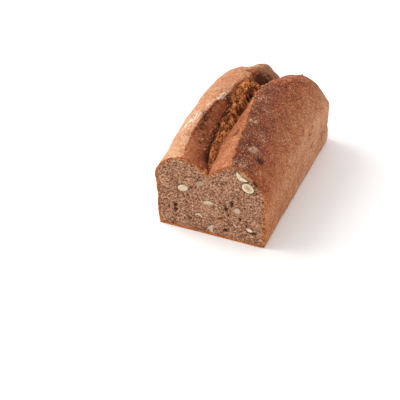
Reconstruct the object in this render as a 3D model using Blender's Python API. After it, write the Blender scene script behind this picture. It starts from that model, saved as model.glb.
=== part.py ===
"""A cut loaf of hazelnut bread, baked in a tin and split open along its top.

Metres, +Z up. The cut faces -Y, the loaf runs back along +Y, and the origin is the
middle of the flat base. The loaf is lofted from cross-sections, each worked out from
the heights and places of the two lobes and the split between them.
"""

import math

import bmesh
import bpy
from mathutils import Vector, noise

# Driving sizes of the loaf
LENGTH = 0.177
BASE_LEFT = -0.0495
BASE_RIGHT = 0.0500
BASE_FILLET = 0.0030

# How far behind the cut each section below stands. The tables that follow hold one value for each.
STATIONS = (0.000, 0.030, 0.060, 0.090, 0.120, 0.148, 0.177)

# Where the tin ended and the risen top begins, on either side
LEFT_RIM_X = (-0.0525, -0.0522, -0.0525, -0.0530, -0.0530, -0.0520, -0.0510)
LEFT_RIM_Z = (0.0550, 0.0560, 0.0580, 0.0590, 0.0590, 0.0560, 0.0500)
RIGHT_RIM_X = (0.0508, 0.0515, 0.0522, 0.0528, 0.0530, 0.0528, 0.0520)
RIGHT_RIM_Z = (0.0500, 0.0515, 0.0530, 0.0540, 0.0540, 0.0510, 0.0440)

# The crest of the left lobe, where its crust turns over into the split
LEFT_CREST_X = (-0.0280, -0.0315, -0.0305, -0.0260, -0.0188, -0.0095, -0.0070)
LEFT_CREST_Z = (0.0772, 0.0808, 0.0840, 0.0852, 0.0850, 0.0822, 0.0690)

# The two feet of the split. Between them lies the torn crumb.
LEFT_FOOT_X = (-0.0045, -0.0135, -0.0185, -0.0205, -0.0172, 0.0008, 0.0040)
LEFT_FOOT_Z = (0.0660, 0.0672, 0.0685, 0.0725, 0.0808, 0.0705, 0.0580)
RIGHT_FOOT_X = (-0.0030, -0.0075, -0.0085, -0.0075, -0.0030, 0.0050, 0.0060)
RIGHT_FOOT_Z = (0.0655, 0.0650, 0.0650, 0.0665, 0.0715, 0.0675, 0.0575)
TORN_MOUND = (0.0000, 0.0020, 0.0035, 0.0042, 0.0036, 0.0008, 0.0000)

# The right lip of the split, and the crest of the right lobe beyond it
LIP_X = (0.0170, 0.0135, 0.0095, 0.0045, 0.0035, 0.0080, 0.0080)
LIP_Z = (0.0812, 0.0855, 0.0880, 0.0885, 0.0850, 0.0770, 0.0640)
RIGHT_CREST_X = (0.0190, 0.0155, 0.0120, 0.0095, 0.0160, 0.0270, 0.0280)
RIGHT_CREST_Z = (0.0815, 0.0858, 0.0884, 0.0892, 0.0880, 0.0838, 0.0690)

# How square each shoulder is: 2 is an ellipse, less is flatter
LEFT_SHOULDER = 1.85
RIGHT_SHOULDER = (1.55, 1.55, 1.60, 1.60, 1.58, 1.50, 1.45)
# How the inner walls of the split fall: over 1 stays high and then drops
LEFT_WALL_FALL = (1.9, 1.4, 1.15, 1.1, 1.1, 2.8, 2.0)
RIGHT_WALL_RISE = 0.75

# Lumps and dents of the risen top: place across and back, rise, spread, and how square the side is
HUMPS = (
    # the knob at the far end of the left lobe
    (-0.0070, 0.1530, 0.0058, 0.0080, 1.5),
    # the hollow where the split ends in front of it
    (-0.0082, 0.1370, -0.0060, 0.0038, 1.0),
    # the nut under the crust of the right lobe, and the dent beside it
    (0.0300, 0.0260, 0.0022, 0.0035, 1.0),
    (0.0365, 0.0255, -0.0022, 0.0025, 1.0),
)

# The far end, rounded where the tin's end wall met its sides
END_ROUND = 0.011
END_SIDE_INSET = 0.006
END_TOP_INSET = 0.009
END_FOOT_LIFT = 0.002
END_LEAN = -0.11

# Relief of the crust and of the torn crumb
SWELL_DEPTH, SWELL_SIZE = 0.0015, 0.021
PUCKER_DEPTH, PUCKER_SIZE = 0.0006, 0.0085
CRAG_DEPTH, CRAG_SIZE = 0.0036, 0.0055
RELIEF_FADE = 0.006

# The mesh: how many edges each stretch of a section has, and how many sections there are
EDGES = {
    "floor": 4,
    "right_wall": 5,
    "right_shoulder": 11,
    "right_top": 3,
    "split_right": 6,
    "torn": 7,
    "split_left": 7,
    "left_shoulder": 10,
    "left_wall": 5,
}
STRAIGHT_SECTIONS = 40
END_SECTIONS = 7
CURVE_SAMPLES = 48

# Nuts in the cut: place across and up, length, width, tilt in degrees, and bend of a crescent
NUTS = {
    "hazelnut_left": (-0.0266, 0.0450, 0.0102, 0.0070, 16, 0.0),
    "hazelnut_whole": (0.0333, 0.0616, 0.0116, 0.0096, -27, 0.0),
    "hazelnut_under_crust": (0.0272, 0.0716, 0.0125, 0.0044, -36, -0.0014),
    "hazelnut_middle": (-0.0029, 0.0353, 0.0099, 0.0040, 9, 0.0003),
    "hazelnut_sliver": (-0.0117, 0.0188, 0.0080, 0.0026, -9, 0.0014),
    "hazelnut_base": (0.0008, 0.0078, 0.0090, 0.0048, 84, 0.0016),
    "hazelnut_pale": (0.0241, 0.0343, 0.0064, 0.0058, 70, 0.0),
    "hazelnut_chip": (0.0356, 0.0163, 0.0062, 0.0036, -18, 0.0),
    "hazelnut_smeared": (-0.0106, 0.0542, 0.0092, 0.0052, 25, 0.0),
}
NUT_DEPTH_SHARE = 0.42
NUT_SET_BACK = 0.25
NUT_GAP = 0.00035
NUT_SEGMENTS, NUT_RINGS = 14, 8
KERNEL_HOLLOW = (0.0052, 0.0026, 0.0016)

# Air holes in the cut: place across and up, length, width, tilt in degrees
HOLES = (
    (-0.0341, 0.0235, 0.0056, 0.0040, 80),
    (-0.0338, 0.0188, 0.0046, 0.0042, 90),
    (0.0188, 0.0400, 0.0078, 0.0038, 84),
    (0.0134, 0.0326, 0.0044, 0.0038, 60),
    (0.0130, 0.0090, 0.0052, 0.0032, 40),
    (0.0264, 0.0252, 0.0040, 0.0026, 90),
    (0.0385, 0.0130, 0.0070, 0.0020, 8),
    (0.0405, 0.0662, 0.0060, 0.0022, -52),
)
HOLE_DEPTH = 0.0045
HOLE_SEGMENTS, HOLE_RINGS = 10, 6


def along(values, s):
    """The value at s metres behind the cut, on a smooth curve through one value per station."""
    s = min(max(s, STATIONS[0]), STATIONS[-1])
    last = len(STATIONS) - 2
    i = next((k for k in range(last + 1) if s <= STATIONS[k + 1]), last)
    t = (s - STATIONS[i]) / (STATIONS[i + 1] - STATIONS[i])
    before, here, there, after = (values[min(max(k, 0), last + 1)] for k in range(i - 1, i + 3))
    slope_here = (there - before) / 2 if i > 0 else there - here
    slope_there = (after - here) / 2 if i < last else there - here
    return (
        here * (1 + 2 * t) * (1 - t) ** 2
        + slope_here * t * (1 - t) ** 2
        + there * t * t * (3 - 2 * t)
        + slope_there * t * t * (t - 1)
    )


def hump(x, s, at_x, at_s, rise, spread, square):
    """A round swelling of the crust, or a dent where rise is below 0."""
    return rise * math.exp(-((((x - at_x) ** 2 + (s - at_s) ** 2) / (2 * spread**2)) ** square))


def shoulder(rim, crest, square):
    """The curve from the rim up over the shoulder to the crest, as points (x, z)."""
    points = []
    for k in range(CURVE_SAMPLES + 1):
        angle = math.pi / 2 * k / CURVE_SAMPLES
        out = math.cos(angle) ** (2 / square)
        up = math.sin(angle) ** (2 / square)
        points.append((crest[0] + (rim[0] - crest[0]) * out, rim[1] + (crest[1] - rim[1]) * up))
    return points


def ramp(start, end, law):
    """The curve from start to end whose height follows law, a function from 0..1 to 0..1."""
    points = []
    for k in range(CURVE_SAMPLES + 1):
        t = k / CURVE_SAMPLES
        points.append((start[0] + (end[0] - start[0]) * t, start[1] + (end[1] - start[1]) * law(t)))
    return points


def wall(base_x, rim):
    """One side wall from the middle of the base fillet up to the rim."""
    inward = -math.copysign(1, base_x)
    centre = (base_x + inward * BASE_FILLET, BASE_FILLET)
    points = []
    for degrees in (45, 30, 15, 0):
        angle = math.radians(degrees)
        x = centre[0] - inward * BASE_FILLET * math.cos(angle)
        points.append((x, centre[1] - BASE_FILLET * math.sin(angle)))
    return points + [rim]


def resampled(points, edges):
    """Equally spaced points on a polyline, without its last one."""
    reach = [0.0]
    for a, b in zip(points, points[1:]):
        reach.append(reach[-1] + math.dist(a, b))
    found = []
    i = 0
    for k in range(edges):
        goal = reach[-1] * k / edges
        while reach[i + 1] < goal:
            i += 1
        t = (goal - reach[i]) / max(reach[i + 1] - reach[i], 1e-12)
        found.append(tuple(points[i][c] + (points[i + 1][c] - points[i][c]) * t for c in (0, 1)))
    return found


def section(s):
    """The closed outline s metres behind the cut, as (stretch, x, z), anticlockwise seen from the cut."""
    left_rim = (along(LEFT_RIM_X, s), along(LEFT_RIM_Z, s))
    right_rim = (along(RIGHT_RIM_X, s), along(RIGHT_RIM_Z, s))
    left_crest = (along(LEFT_CREST_X, s), along(LEFT_CREST_Z, s))
    right_crest = (along(RIGHT_CREST_X, s), along(RIGHT_CREST_Z, s))
    left_foot = (along(LEFT_FOOT_X, s), along(LEFT_FOOT_Z, s))
    right_foot = (along(RIGHT_FOOT_X, s), along(RIGHT_FOOT_Z, s))
    lip = (along(LIP_X, s), along(LIP_Z, s))
    mound = along(TORN_MOUND, s)
    fall = along(LEFT_WALL_FALL, s)

    right_wall = wall(BASE_RIGHT, right_rim)
    left_wall = wall(BASE_LEFT, left_rim)
    torn = ramp(right_foot, left_foot, lambda t: t)
    torn = [(x, z + mound * math.sin(math.pi * k / CURVE_SAMPLES)) for k, (x, z) in enumerate(torn)]
    stretches = {
        "floor": [(left_wall[0][0], 0.0), (right_wall[0][0], 0.0)],
        "right_wall": right_wall,
        "right_shoulder": shoulder(right_rim, right_crest, along(RIGHT_SHOULDER, s)),
        "right_top": ramp(right_crest, lip, lambda t: 1 - math.cos(math.pi / 2 * t)),
        "split_right": ramp(lip, right_foot, lambda t: 1 - (1 - t) ** RIGHT_WALL_RISE),
        "torn": torn,
        "split_left": ramp(left_foot, left_crest, lambda t: 1 - (1 - t) ** fall),
        "left_shoulder": shoulder(left_rim, left_crest, LEFT_SHOULDER)[::-1],
        "left_wall": left_wall[::-1],
    }
    outline = []
    for stretch, points in stretches.items():
        outline += [(stretch, x, z) for x, z in resampled(points, EDGES[stretch])]
    return outline


def relief(stretch, x, s, z):
    """How far the surface stands out of the plain form here."""
    if stretch == "floor":
        return 0.0
    place = Vector((x, s, z))
    rise = SWELL_DEPTH * noise.noise(place / SWELL_SIZE) + PUCKER_DEPTH * noise.noise(place / PUCKER_SIZE)
    if stretch == "torn":
        rise += CRAG_DEPTH * noise.noise(place / CRAG_SIZE) * min(1.0, along(TORN_MOUND, s) / 0.002)
    return rise * min(1.0, z / RELIEF_FADE)


def lumps(stretch, x, s):
    """The height that the humps add to the risen top."""
    if stretch in ("floor", "left_wall", "right_wall"):
        return 0.0
    return sum(hump(x, s, *spec) for spec in HUMPS)


def ring(s, turn):
    """One section with its relief as points (x, y, z). turn is 0 on the straight part and 1 at the end wall."""
    outline = section(s)
    points = []
    for k, (stretch, x, z) in enumerate(outline):
        before, after = outline[k - 1], outline[(k + 1) % len(outline)]
        across = Vector((after[2] - before[2], before[1] - after[1]))
        across.normalize()
        out = relief(stretch, x, s, z)
        px = x + across.x * out
        pz = z + across.y * out + lumps(stretch, x, s)
        inset = 1 - math.cos(math.pi / 2 * turn)
        px *= 1 - END_SIDE_INSET / BASE_RIGHT * inset
        pz = pz * (1 - END_TOP_INSET / RIGHT_CREST_Z[3] * inset) + END_FOOT_LIFT * inset
        lean = END_LEAN * pz * (s / LENGTH) ** 8
        points.append((px, s + lean - LENGTH / 2, pz))
    return points


def rings():
    """All sections from the cut to the end wall."""
    straight = LENGTH - END_ROUND
    found = [ring(straight * k / STRAIGHT_SECTIONS, 0.0) for k in range(STRAIGHT_SECTIONS + 1)]
    for k in range(1, END_SECTIONS + 1):
        turn = k / END_SECTIONS
        found.append(ring(straight + END_ROUND * math.sin(math.pi / 2 * turn), turn))
    return found


def mesh_object(name, work, collection, material=None):
    """A new object from a bmesh, in a collection."""
    work.normal_update()
    bmesh.ops.recalc_face_normals(work, faces=work.faces)
    mesh = bpy.data.meshes.new(name)
    work.to_mesh(mesh)
    work.free()
    if material:
        mesh.materials.append(material)
    obj = bpy.data.objects.new(name, mesh)
    collection.objects.link(obj)
    return obj


def make_material(name, colour, roughness):
    material = bpy.data.materials.new(name)
    material.use_nodes = True
    shader = material.node_tree.nodes["Principled BSDF"]
    shader.inputs["Base Color"].default_value = (*colour, 1.0)
    shader.inputs["Roughness"].default_value = roughness
    return material


def make_loaf(collection, material):
    """The loaf as a loft through its sections, closed by the cut and the end wall."""
    work = bmesh.new()
    rows = [[work.verts.new(p) for p in points] for points in rings()]
    around = len(rows[0])
    for near, far in zip(rows, rows[1:]):
        for i in range(around):
            j = (i + 1) % around
            work.faces.new((near[i], near[j], far[j], far[i]))
    work.faces.new(rows[0])
    work.faces.new(rows[-1])
    loaf = mesh_object("loaf", work, collection, material)
    loaf.data.shade_smooth()
    loaf.data.set_sharp_from_angle(angle=math.radians(40))
    return loaf


def pip(length, width, depth, bend, segments, ring_count):
    """A nut or a hole as a bmesh: an ellipsoid along X, its poles on Y, bent up in the middle."""
    work = bmesh.new()
    bmesh.ops.create_uvsphere(work, u_segments=segments, v_segments=ring_count, radius=1.0)
    for vert in work.verts:
        x, y, z = vert.co
        vert.co = (x * length / 2, z * depth, -y * width / 2 + bend * (1 - 2 * x * x))
    return work


def place_in_cut(obj, x, z, back, tilt):
    obj.location = (x, back - LENGTH / 2, z)
    obj.rotation_euler = (0.0, -math.radians(tilt), 0.0)


def make_nut(name, spec, collection, cutters, material):
    """One nut, flat where the knife cut it, and the pocket it leaves in the crumb."""
    x, z, length, width, tilt, bend = spec
    depth = NUT_DEPTH_SHARE * length
    back = NUT_SET_BACK * depth
    work = pip(length, width, depth, bend, NUT_SEGMENTS, NUT_RINGS)
    everything = [*work.verts, *work.edges, *work.faces]
    cut = bmesh.ops.bisect_plane(
        work, geom=everything, plane_co=(0, -back, 0), plane_no=(0, -1, 0), clear_outer=True
    )
    rim = [e for e in cut["geom_cut"] if isinstance(e, bmesh.types.BMEdge)]
    bmesh.ops.contextual_create(work, geom=rim)
    nut = mesh_object(name, work, collection, material)
    place_in_cut(nut, x, z, back, tilt)

    clear = 2 * NUT_GAP
    pocket_work = pip(length + clear, width + clear, depth + NUT_GAP, bend, NUT_SEGMENTS, NUT_RINGS)
    pocket = mesh_object(name + "_pocket", pocket_work, cutters)
    place_in_cut(pocket, x, z, back, tilt)
    return nut


def make_hole(index, spec, cutters):
    x, z, length, width, tilt = spec
    hole = mesh_object(f"hole_{index}", pip(length, width, HOLE_DEPTH, 0.0, HOLE_SEGMENTS, HOLE_RINGS), cutters)
    place_in_cut(hole, x, z, 0.0, tilt)


def hollow_kernel(nut, cutters):
    """The small hollow that shows in the middle of a nut cut right through."""
    length, width, depth = KERNEL_HOLLOW
    hollow = mesh_object("kernel_hollow", pip(length, width, depth, 0.0, HOLE_SEGMENTS, HOLE_RINGS), cutters)
    x, z, _, _, tilt, _ = NUTS[nut.name]
    place_in_cut(hollow, x, z, 0.0, tilt)
    hollow.hide_render = True
    hollow.display_type = "WIRE"
    cut = nut.modifiers.new("hollow", "BOOLEAN")
    cut.operation = "DIFFERENCE"
    cut.object = hollow


def main():
    for obj in list(bpy.data.objects):
        bpy.data.objects.remove(obj)
    scene = bpy.context.scene.collection
    bread = bpy.data.collections.new("hazelnut_bread")
    pockets = bpy.data.collections.new("pockets")
    kernels = bpy.data.collections.new("kernel_hollows")
    for collection in (bread, pockets, kernels):
        scene.children.link(collection)

    crust = make_material("crust", (0.36, 0.15, 0.065), 0.85)
    nut_flesh = make_material("nut_flesh", (0.75, 0.62, 0.42), 0.55)
    loaf = make_loaf(bread, crust)
    nuts = {name: make_nut(name, spec, bread, pockets, nut_flesh) for name, spec in NUTS.items()}
    for index, spec in enumerate(HOLES):
        make_hole(index, spec, pockets)
    hollow_kernel(nuts["hazelnut_whole"], kernels)

    for cutter in pockets.objects:
        cutter.hide_render = True
        cutter.display_type = "WIRE"
    carve = loaf.modifiers.new("pockets", "BOOLEAN")
    carve.operation = "DIFFERENCE"
    carve.operand_type = "COLLECTION"
    carve.collection = pockets
    carve.solver = "EXACT"
    print("loaf sections:", STRAIGHT_SECTIONS + 1 + END_SECTIONS, "nuts:", len(nuts), "holes:", len(HOLES))


main()
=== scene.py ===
# %% [markdown]
# # A cut loaf of hazelnut bread
#
# The loaf was baked in a tin, so its sides are flat and its top has risen free. The top split open along
# its length and left two lobes with a strip of torn crumb between them. A knife cut across the near end.
# Everything below is worked out from named sizes: where the rims, crests and lips of the crust run, how
# the dough tore, and where the nuts and the holes lie in the cut.

# %% Load the measured model
import math

import bmesh
import bpy
import numpy as np
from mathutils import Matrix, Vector, noise


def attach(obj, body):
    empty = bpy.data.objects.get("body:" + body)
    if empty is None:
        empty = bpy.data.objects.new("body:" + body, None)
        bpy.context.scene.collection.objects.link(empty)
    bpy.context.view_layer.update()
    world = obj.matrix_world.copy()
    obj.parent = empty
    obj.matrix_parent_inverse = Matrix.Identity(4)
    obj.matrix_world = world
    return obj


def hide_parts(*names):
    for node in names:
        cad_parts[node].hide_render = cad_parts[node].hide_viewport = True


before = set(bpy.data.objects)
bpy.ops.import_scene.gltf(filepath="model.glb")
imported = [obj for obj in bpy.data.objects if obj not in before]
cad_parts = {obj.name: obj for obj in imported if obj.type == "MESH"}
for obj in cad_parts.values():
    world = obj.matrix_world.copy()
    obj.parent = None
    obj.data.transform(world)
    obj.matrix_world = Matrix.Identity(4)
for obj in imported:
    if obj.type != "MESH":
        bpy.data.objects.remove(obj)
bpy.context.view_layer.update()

# %% [markdown]
# ## Small helpers
#
# A material is a tree of nodes. `put` adds one node and fills its sockets, either with a number or with a
# link from another node's output, so that each material below reads from top to bottom like a recipe.
# `times`, `plus` and `minus` are the arithmetic between such outputs.

# %% Helpers for node trees
def put(tree, kind, inputs=None, **settings):
    """Adds a node. inputs maps a socket's name or number to a value or to another node's output."""
    made = tree.nodes.new(kind)
    for key, value in settings.items():
        setattr(made, key, value)
    for key, value in (inputs or {}).items():
        if isinstance(value, bpy.types.NodeSocket):
            tree.links.new(value, made.inputs[key])
        else:
            made.inputs[key].default_value = value
    return made


def calculate(tree, operation, a, b=0.0, clamp=False):
    return put(tree, "ShaderNodeMath", {0: a, 1: b}, operation=operation, use_clamp=clamp).outputs[0]


def times(tree, a, b):
    return calculate(tree, "MULTIPLY", a, b)


def plus(tree, a, b, clamp=False):
    return calculate(tree, "ADD", a, b, clamp)


def minus(tree, a, b, clamp=False):
    return calculate(tree, "SUBTRACT", a, b, clamp)


def vectors(tree, operation, a, b):
    """Arithmetic on three numbers at once, such as places."""
    return put(tree, "ShaderNodeVectorMath", {0: a, 1: b}, operation=operation).outputs[0]


print("arithmetic of nodes ready")

# %% Helpers for colours and surfaces
def blend_colours(tree, share, first, second, how="MIX"):
    """Colour first where share is 0 and second where it is 1."""
    mix = put(tree, "ShaderNodeMix", data_type="RGBA", blend_type=how)
    for index, value in ((0, share), (6, first), (7, second)):
        if isinstance(value, bpy.types.NodeSocket):
            tree.links.new(value, mix.inputs[index])
        else:
            mix.inputs[index].default_value = value if index == 0 else (*value, 1.0)
    return mix.outputs[2]


def grain(tree, place, size, detail=3.0, rough=0.55):
    """Soft random mottling whose blotches are about size metres across, from 0 to 1."""
    sizes = {"Vector": place, "Scale": 1 / size, "Detail": detail, "Roughness": rough}
    return put(tree, "ShaderNodeTexNoise", sizes).outputs[0]


def ramp_colours(tree, value, stops):
    """A colour for each value, through stops of (position, colour)."""
    made = put(tree, "ShaderNodeValToRGB", {0: value})
    elements = made.color_ramp.elements
    while len(elements) < len(stops):
        elements.new(0.5)
    for element, (position, colour) in zip(elements, stops):
        element.position = position
        element.color = (*colour, 1.0)
    return made.outputs[0]


def between(tree, value, low, high):
    """0 below low, 1 above high and smooth in between."""
    made = put(tree, "ShaderNodeMapRange", {0: value, 1: low, 2: high}, interpolation_type="SMOOTHSTEP")
    return made.outputs[0]


def attribute(tree, name):
    return put(tree, "ShaderNodeAttribute", attribute_name=name).outputs["Fac"]


def new_material(name):
    """An empty material, its shader and the object's own coordinates."""
    material = bpy.data.materials.new(name)
    material.use_nodes = True
    tree = material.node_tree
    shader = tree.nodes["Principled BSDF"]
    place = put(tree, "ShaderNodeTexCoord").outputs["Object"]
    return material, tree, shader, place


def finish_surface(tree, shader, colour, roughness, shine=0.5):
    """Gives the shader its colour, how rough it is and how strongly it shines."""
    tree.links.new(colour, shader.inputs["Base Color"])
    shader.inputs["Roughness"].default_value = roughness
    shader.inputs["Specular IOR Level"].default_value = shine


def raise_surface(tree, shader, height, distance):
    """Bumps the shader's surface by height, with distance the full depth in metres."""
    bump = put(tree, "ShaderNodeBump", {"Strength": 1.0, "Distance": distance, "Height": height})
    tree.links.new(bump.outputs[0], shader.inputs["Normal"])


print("colour and surface helpers ready")

# %% [markdown]
# ## Meshes from rows of points
#
# Most of a loaf is a grid of points: rows run back from the cut, and each row goes round the loaf or
# across a surface. `sheet_faces` joins such rows, `band_faces` joins the edges of two sheets, and `piece`
# makes the object. Each piece is a closed skin, so Blender can be asked to turn all of its faces outwards.

# %% Helpers for meshes
def sheet_faces(first, rows, columns, around=False):
    """Four-sided faces that join rows of points, numbered from first."""
    here = first + np.arange(rows * columns).reshape(rows, columns)
    beside = np.roll(here, -1, axis=1)
    if not around:
        here, beside = here[:, :-1], beside[:, :-1]
    return np.stack([here[:-1], here[1:], beside[1:], beside[:-1]], axis=-1).reshape(-1, 4)


def fan_faces(loop, centre):
    """Triangles from a closed loop of point numbers to one centre point."""
    loop = np.asarray(loop)
    return np.stack([loop, np.roll(loop, -1), np.full(len(loop), centre)], axis=-1)


def edge_loop(rows, columns):
    """The numbers of a grid's outermost points, in order round it."""
    number = np.arange(rows * columns).reshape(rows, columns)
    return np.concatenate([number[0, :-1], number[:-1, -1], number[-1, :0:-1], number[:0:-1, 0]])


def band_faces(loop, other):
    """Four-sided faces between two closed loops of point numbers."""
    return np.stack([loop, np.roll(loop, -1), np.roll(other, -1), other], axis=-1)


print("face helpers ready")

# %% Helpers for objects
def put_in_scene(name, data):
    made = bpy.data.objects.new(name, data)
    bpy.context.scene.collection.objects.link(made)
    return made


def add_values(mesh, values):
    """Writes named numbers on the points, for the materials to read."""
    for key, numbers in values.items():
        mesh.attributes.new(key, "FLOAT", "POINT").data.foreach_set("value", np.asarray(numbers, np.float32))


def piece(name, points, faces, material, values, flat_angle=None):
    """A closed smooth object from points and face lists, with named values on its points."""
    mesh = bpy.data.meshes.new(name)
    all_faces = [face for part in faces for face in np.asarray(part).tolist()]
    mesh.from_pydata(np.asarray(points).tolist(), [], all_faces)
    add_values(mesh, values)
    work = bmesh.new()
    work.from_mesh(mesh)
    bmesh.ops.recalc_face_normals(work, faces=work.faces)
    loose = sum(not edge.is_manifold for edge in work.edges)
    work.to_mesh(mesh)
    work.free()
    mesh.shade_smooth()
    if flat_angle:
        mesh.set_sharp_from_angle(angle=flat_angle)
    mesh.materials.append(material)
    triangles = sum(len(face.vertices) - 2 for face in mesh.polygons)
    print(f"{name}: {triangles} triangles, {loose} open edges")
    return put_in_scene(name, mesh)


def blurred(table, reach):
    """A table smoothed along its rows and columns by a running mean; columns join end to end."""
    for axis, mode in ((0, "edge"), (1, "wrap")):
        pad = [(0, 0), (0, 0)]
        pad[axis] = (reach, reach)
        padded = np.pad(table, pad, mode=mode)
        table = sum(np.roll(padded, -k, axis=axis) for k in range(2 * reach + 1)) / (2 * reach + 1)
        table = table[: -2 * reach] if axis == 0 else table[:, : -2 * reach]
    return table


def random_bits(seed):
    return np.random.default_rng(seed)


print("mesh helpers ready")

# %% [markdown]
# ## The form of the loaf
#
# The two lobes and the split are one loft. Seven stations along the loaf each give the place of a few
# lines that a baker would point at: the rims where the tin ended, the crests of the lobes, the lip of
# the right lobe and the two feet of the split. A smooth curve through the stations gives every section
# in between. The form could be sculpted too, but here each height and width is a number that can be
# measured and changed, and the same lines as in the measured model keep the two the same shape.

# %% Lines that run along the loaf, one value for each station
LENGTH = 0.177
CUT_Y = -LENGTH / 2
BASE_LEFT, BASE_RIGHT, BASE_FILLET = -0.0495, 0.0500, 0.0030
STATIONS = (0.000, 0.030, 0.060, 0.090, 0.120, 0.148, 0.177)

LEFT_RIM_X = (-0.0525, -0.0522, -0.0525, -0.0530, -0.0530, -0.0520, -0.0510)
LEFT_RIM_Z = (0.0550, 0.0560, 0.0580, 0.0590, 0.0590, 0.0560, 0.0500)
RIGHT_RIM_X = (0.0508, 0.0515, 0.0522, 0.0528, 0.0530, 0.0528, 0.0520)
RIGHT_RIM_Z = (0.0500, 0.0515, 0.0530, 0.0540, 0.0540, 0.0510, 0.0440)
LEFT_CREST_X = (-0.0280, -0.0315, -0.0305, -0.0260, -0.0188, -0.0095, -0.0070)
LEFT_CREST_Z = (0.0772, 0.0808, 0.0840, 0.0852, 0.0850, 0.0822, 0.0690)
LEFT_FOOT_X = (-0.0045, -0.0135, -0.0185, -0.0205, -0.0172, 0.0008, 0.0040)
LEFT_FOOT_Z = (0.0660, 0.0672, 0.0685, 0.0725, 0.0808, 0.0705, 0.0580)
RIGHT_FOOT_X = (-0.0030, -0.0075, -0.0085, -0.0075, -0.0030, 0.0050, 0.0060)
RIGHT_FOOT_Z = (0.0655, 0.0650, 0.0650, 0.0665, 0.0715, 0.0675, 0.0575)
TORN_MOUND = (0.0000, 0.0020, 0.0035, 0.0042, 0.0036, 0.0008, 0.0000)
LIP_X = (0.0170, 0.0135, 0.0095, 0.0045, 0.0035, 0.0080, 0.0080)
LIP_Z = (0.0812, 0.0855, 0.0880, 0.0885, 0.0850, 0.0770, 0.0640)
RIGHT_CREST_X = (0.0190, 0.0155, 0.0120, 0.0095, 0.0160, 0.0270, 0.0280)
RIGHT_CREST_Z = (0.0815, 0.0858, 0.0884, 0.0892, 0.0880, 0.0838, 0.0690)

LEFT_SHOULDER = 1.85
RIGHT_SHOULDER = (1.55, 1.55, 1.60, 1.60, 1.58, 1.50, 1.45)
LEFT_WALL_FALL = (1.9, 1.4, 1.15, 1.1, 1.1, 2.8, 2.0)
RIGHT_WALL_RISE = 0.75
CURVE_SAMPLES = 60


def along(values, s):
    """The value at s metres behind the cut, on a smooth curve through one value per station."""
    s = min(max(s, STATIONS[0]), STATIONS[-1])
    last = len(STATIONS) - 2
    i = next((k for k in range(last + 1) if s <= STATIONS[k + 1]), last)
    t = (s - STATIONS[i]) / (STATIONS[i + 1] - STATIONS[i])
    before, here, there, after = (values[min(max(k, 0), last + 1)] for k in range(i - 1, i + 3))
    slope_here = (there - before) / 2 if i > 0 else there - here
    slope_there = (after - here) / 2 if i < last else there - here
    return (
        here * (1 + 2 * t) * (1 - t) ** 2
        + slope_here * t * (1 - t) ** 2
        + there * t * t * (3 - 2 * t)
        + slope_there * t * t * (t - 1)
    )


print("crest of the left lobe half way back, in mm:", round(along(LEFT_CREST_Z, LENGTH / 2) * 1000, 1))

# %% [markdown]
# ## One section through the loaf
#
# A section is nine stretches in a ring: the floor, each wall, each shoulder, the top by the lip, both
# inner walls of the split and the torn strip. A shoulder is a quarter of a superellipse, which is an
# ellipse whose exponent makes it squarer or flatter.

# %% Build one section
def shoulder(rim, crest, square):
    """The curve from the rim up over the shoulder to the crest."""
    angle = np.linspace(0, math.pi / 2, CURVE_SAMPLES + 1)
    out, up = np.cos(angle).clip(0) ** (2 / square), np.sin(angle) ** (2 / square)
    return np.stack([crest[0] + (rim[0] - crest[0]) * out, rim[1] + (crest[1] - rim[1]) * up], axis=-1)


def ramp(start, end, law):
    """The curve from start to end whose height follows law, a function from 0..1 to 0..1."""
    t = np.linspace(0, 1, CURVE_SAMPLES + 1)
    return np.stack([start[0] + (end[0] - start[0]) * t, start[1] + (end[1] - start[1]) * law(t)], axis=-1)


def wall(base_x, rim):
    """One side wall from the middle of the base fillet up to the rim."""
    side = math.copysign(1, base_x)
    angle = np.radians([45, 30, 15, 0])
    x = base_x - side * BASE_FILLET * (1 - np.cos(angle))
    return np.vstack([np.stack([x, BASE_FILLET * (1 - np.sin(angle))], axis=-1), [rim]])


def distance_along(line):
    """How far each point of a line lies from its start, measured along it."""
    return np.concatenate([[0], np.cumsum(np.hypot(*np.diff(line, axis=0).T))])


def points_at(line, goal):
    """The points of a line at the distances in goal from its start."""
    reach = distance_along(line)
    return np.stack([np.interp(goal, reach, line[:, c]) for c in (0, 1)], axis=-1)


def resampled(line, count):
    """count equally spaced points on a line, without its last one."""
    return points_at(line, distance_along(line)[-1] * np.arange(count) / count)


def stretches(s):
    """The nine stretches of the section s metres behind the cut, anticlockwise seen from the cut."""
    def line(x, z):
        return along(x, s), along(z, s)

    left_rim, right_rim = line(LEFT_RIM_X, LEFT_RIM_Z), line(RIGHT_RIM_X, RIGHT_RIM_Z)
    left_crest, right_crest = line(LEFT_CREST_X, LEFT_CREST_Z), line(RIGHT_CREST_X, RIGHT_CREST_Z)
    left_foot, right_foot = line(LEFT_FOOT_X, LEFT_FOOT_Z), line(RIGHT_FOOT_X, RIGHT_FOOT_Z)
    lip, fall = line(LIP_X, LIP_Z), along(LEFT_WALL_FALL, s)
    right_wall, left_wall = wall(BASE_RIGHT, right_rim), wall(BASE_LEFT, left_rim)
    torn = ramp(right_foot, left_foot, lambda t: t)
    torn[:, 1] += along(TORN_MOUND, s) * np.sin(np.linspace(0, math.pi, len(torn)))
    return {
        "floor": np.array([[left_wall[0][0], 0.0], [right_wall[0][0], 0.0]]),
        "right_wall": right_wall,
        "right_shoulder": shoulder(right_rim, right_crest, along(RIGHT_SHOULDER, s)),
        "right_top": ramp(right_crest, lip, lambda t: 1 - np.cos(math.pi / 2 * t)),
        "split_right": ramp(lip, right_foot, lambda t: 1 - (1 - t) ** RIGHT_WALL_RISE),
        "torn": torn,
        "split_left": ramp(left_foot, left_crest, lambda t: 1 - (1 - t) ** fall),
        "left_shoulder": shoulder(left_rim, left_crest, LEFT_SHOULDER)[::-1],
        "left_wall": left_wall[::-1],
    }


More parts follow.
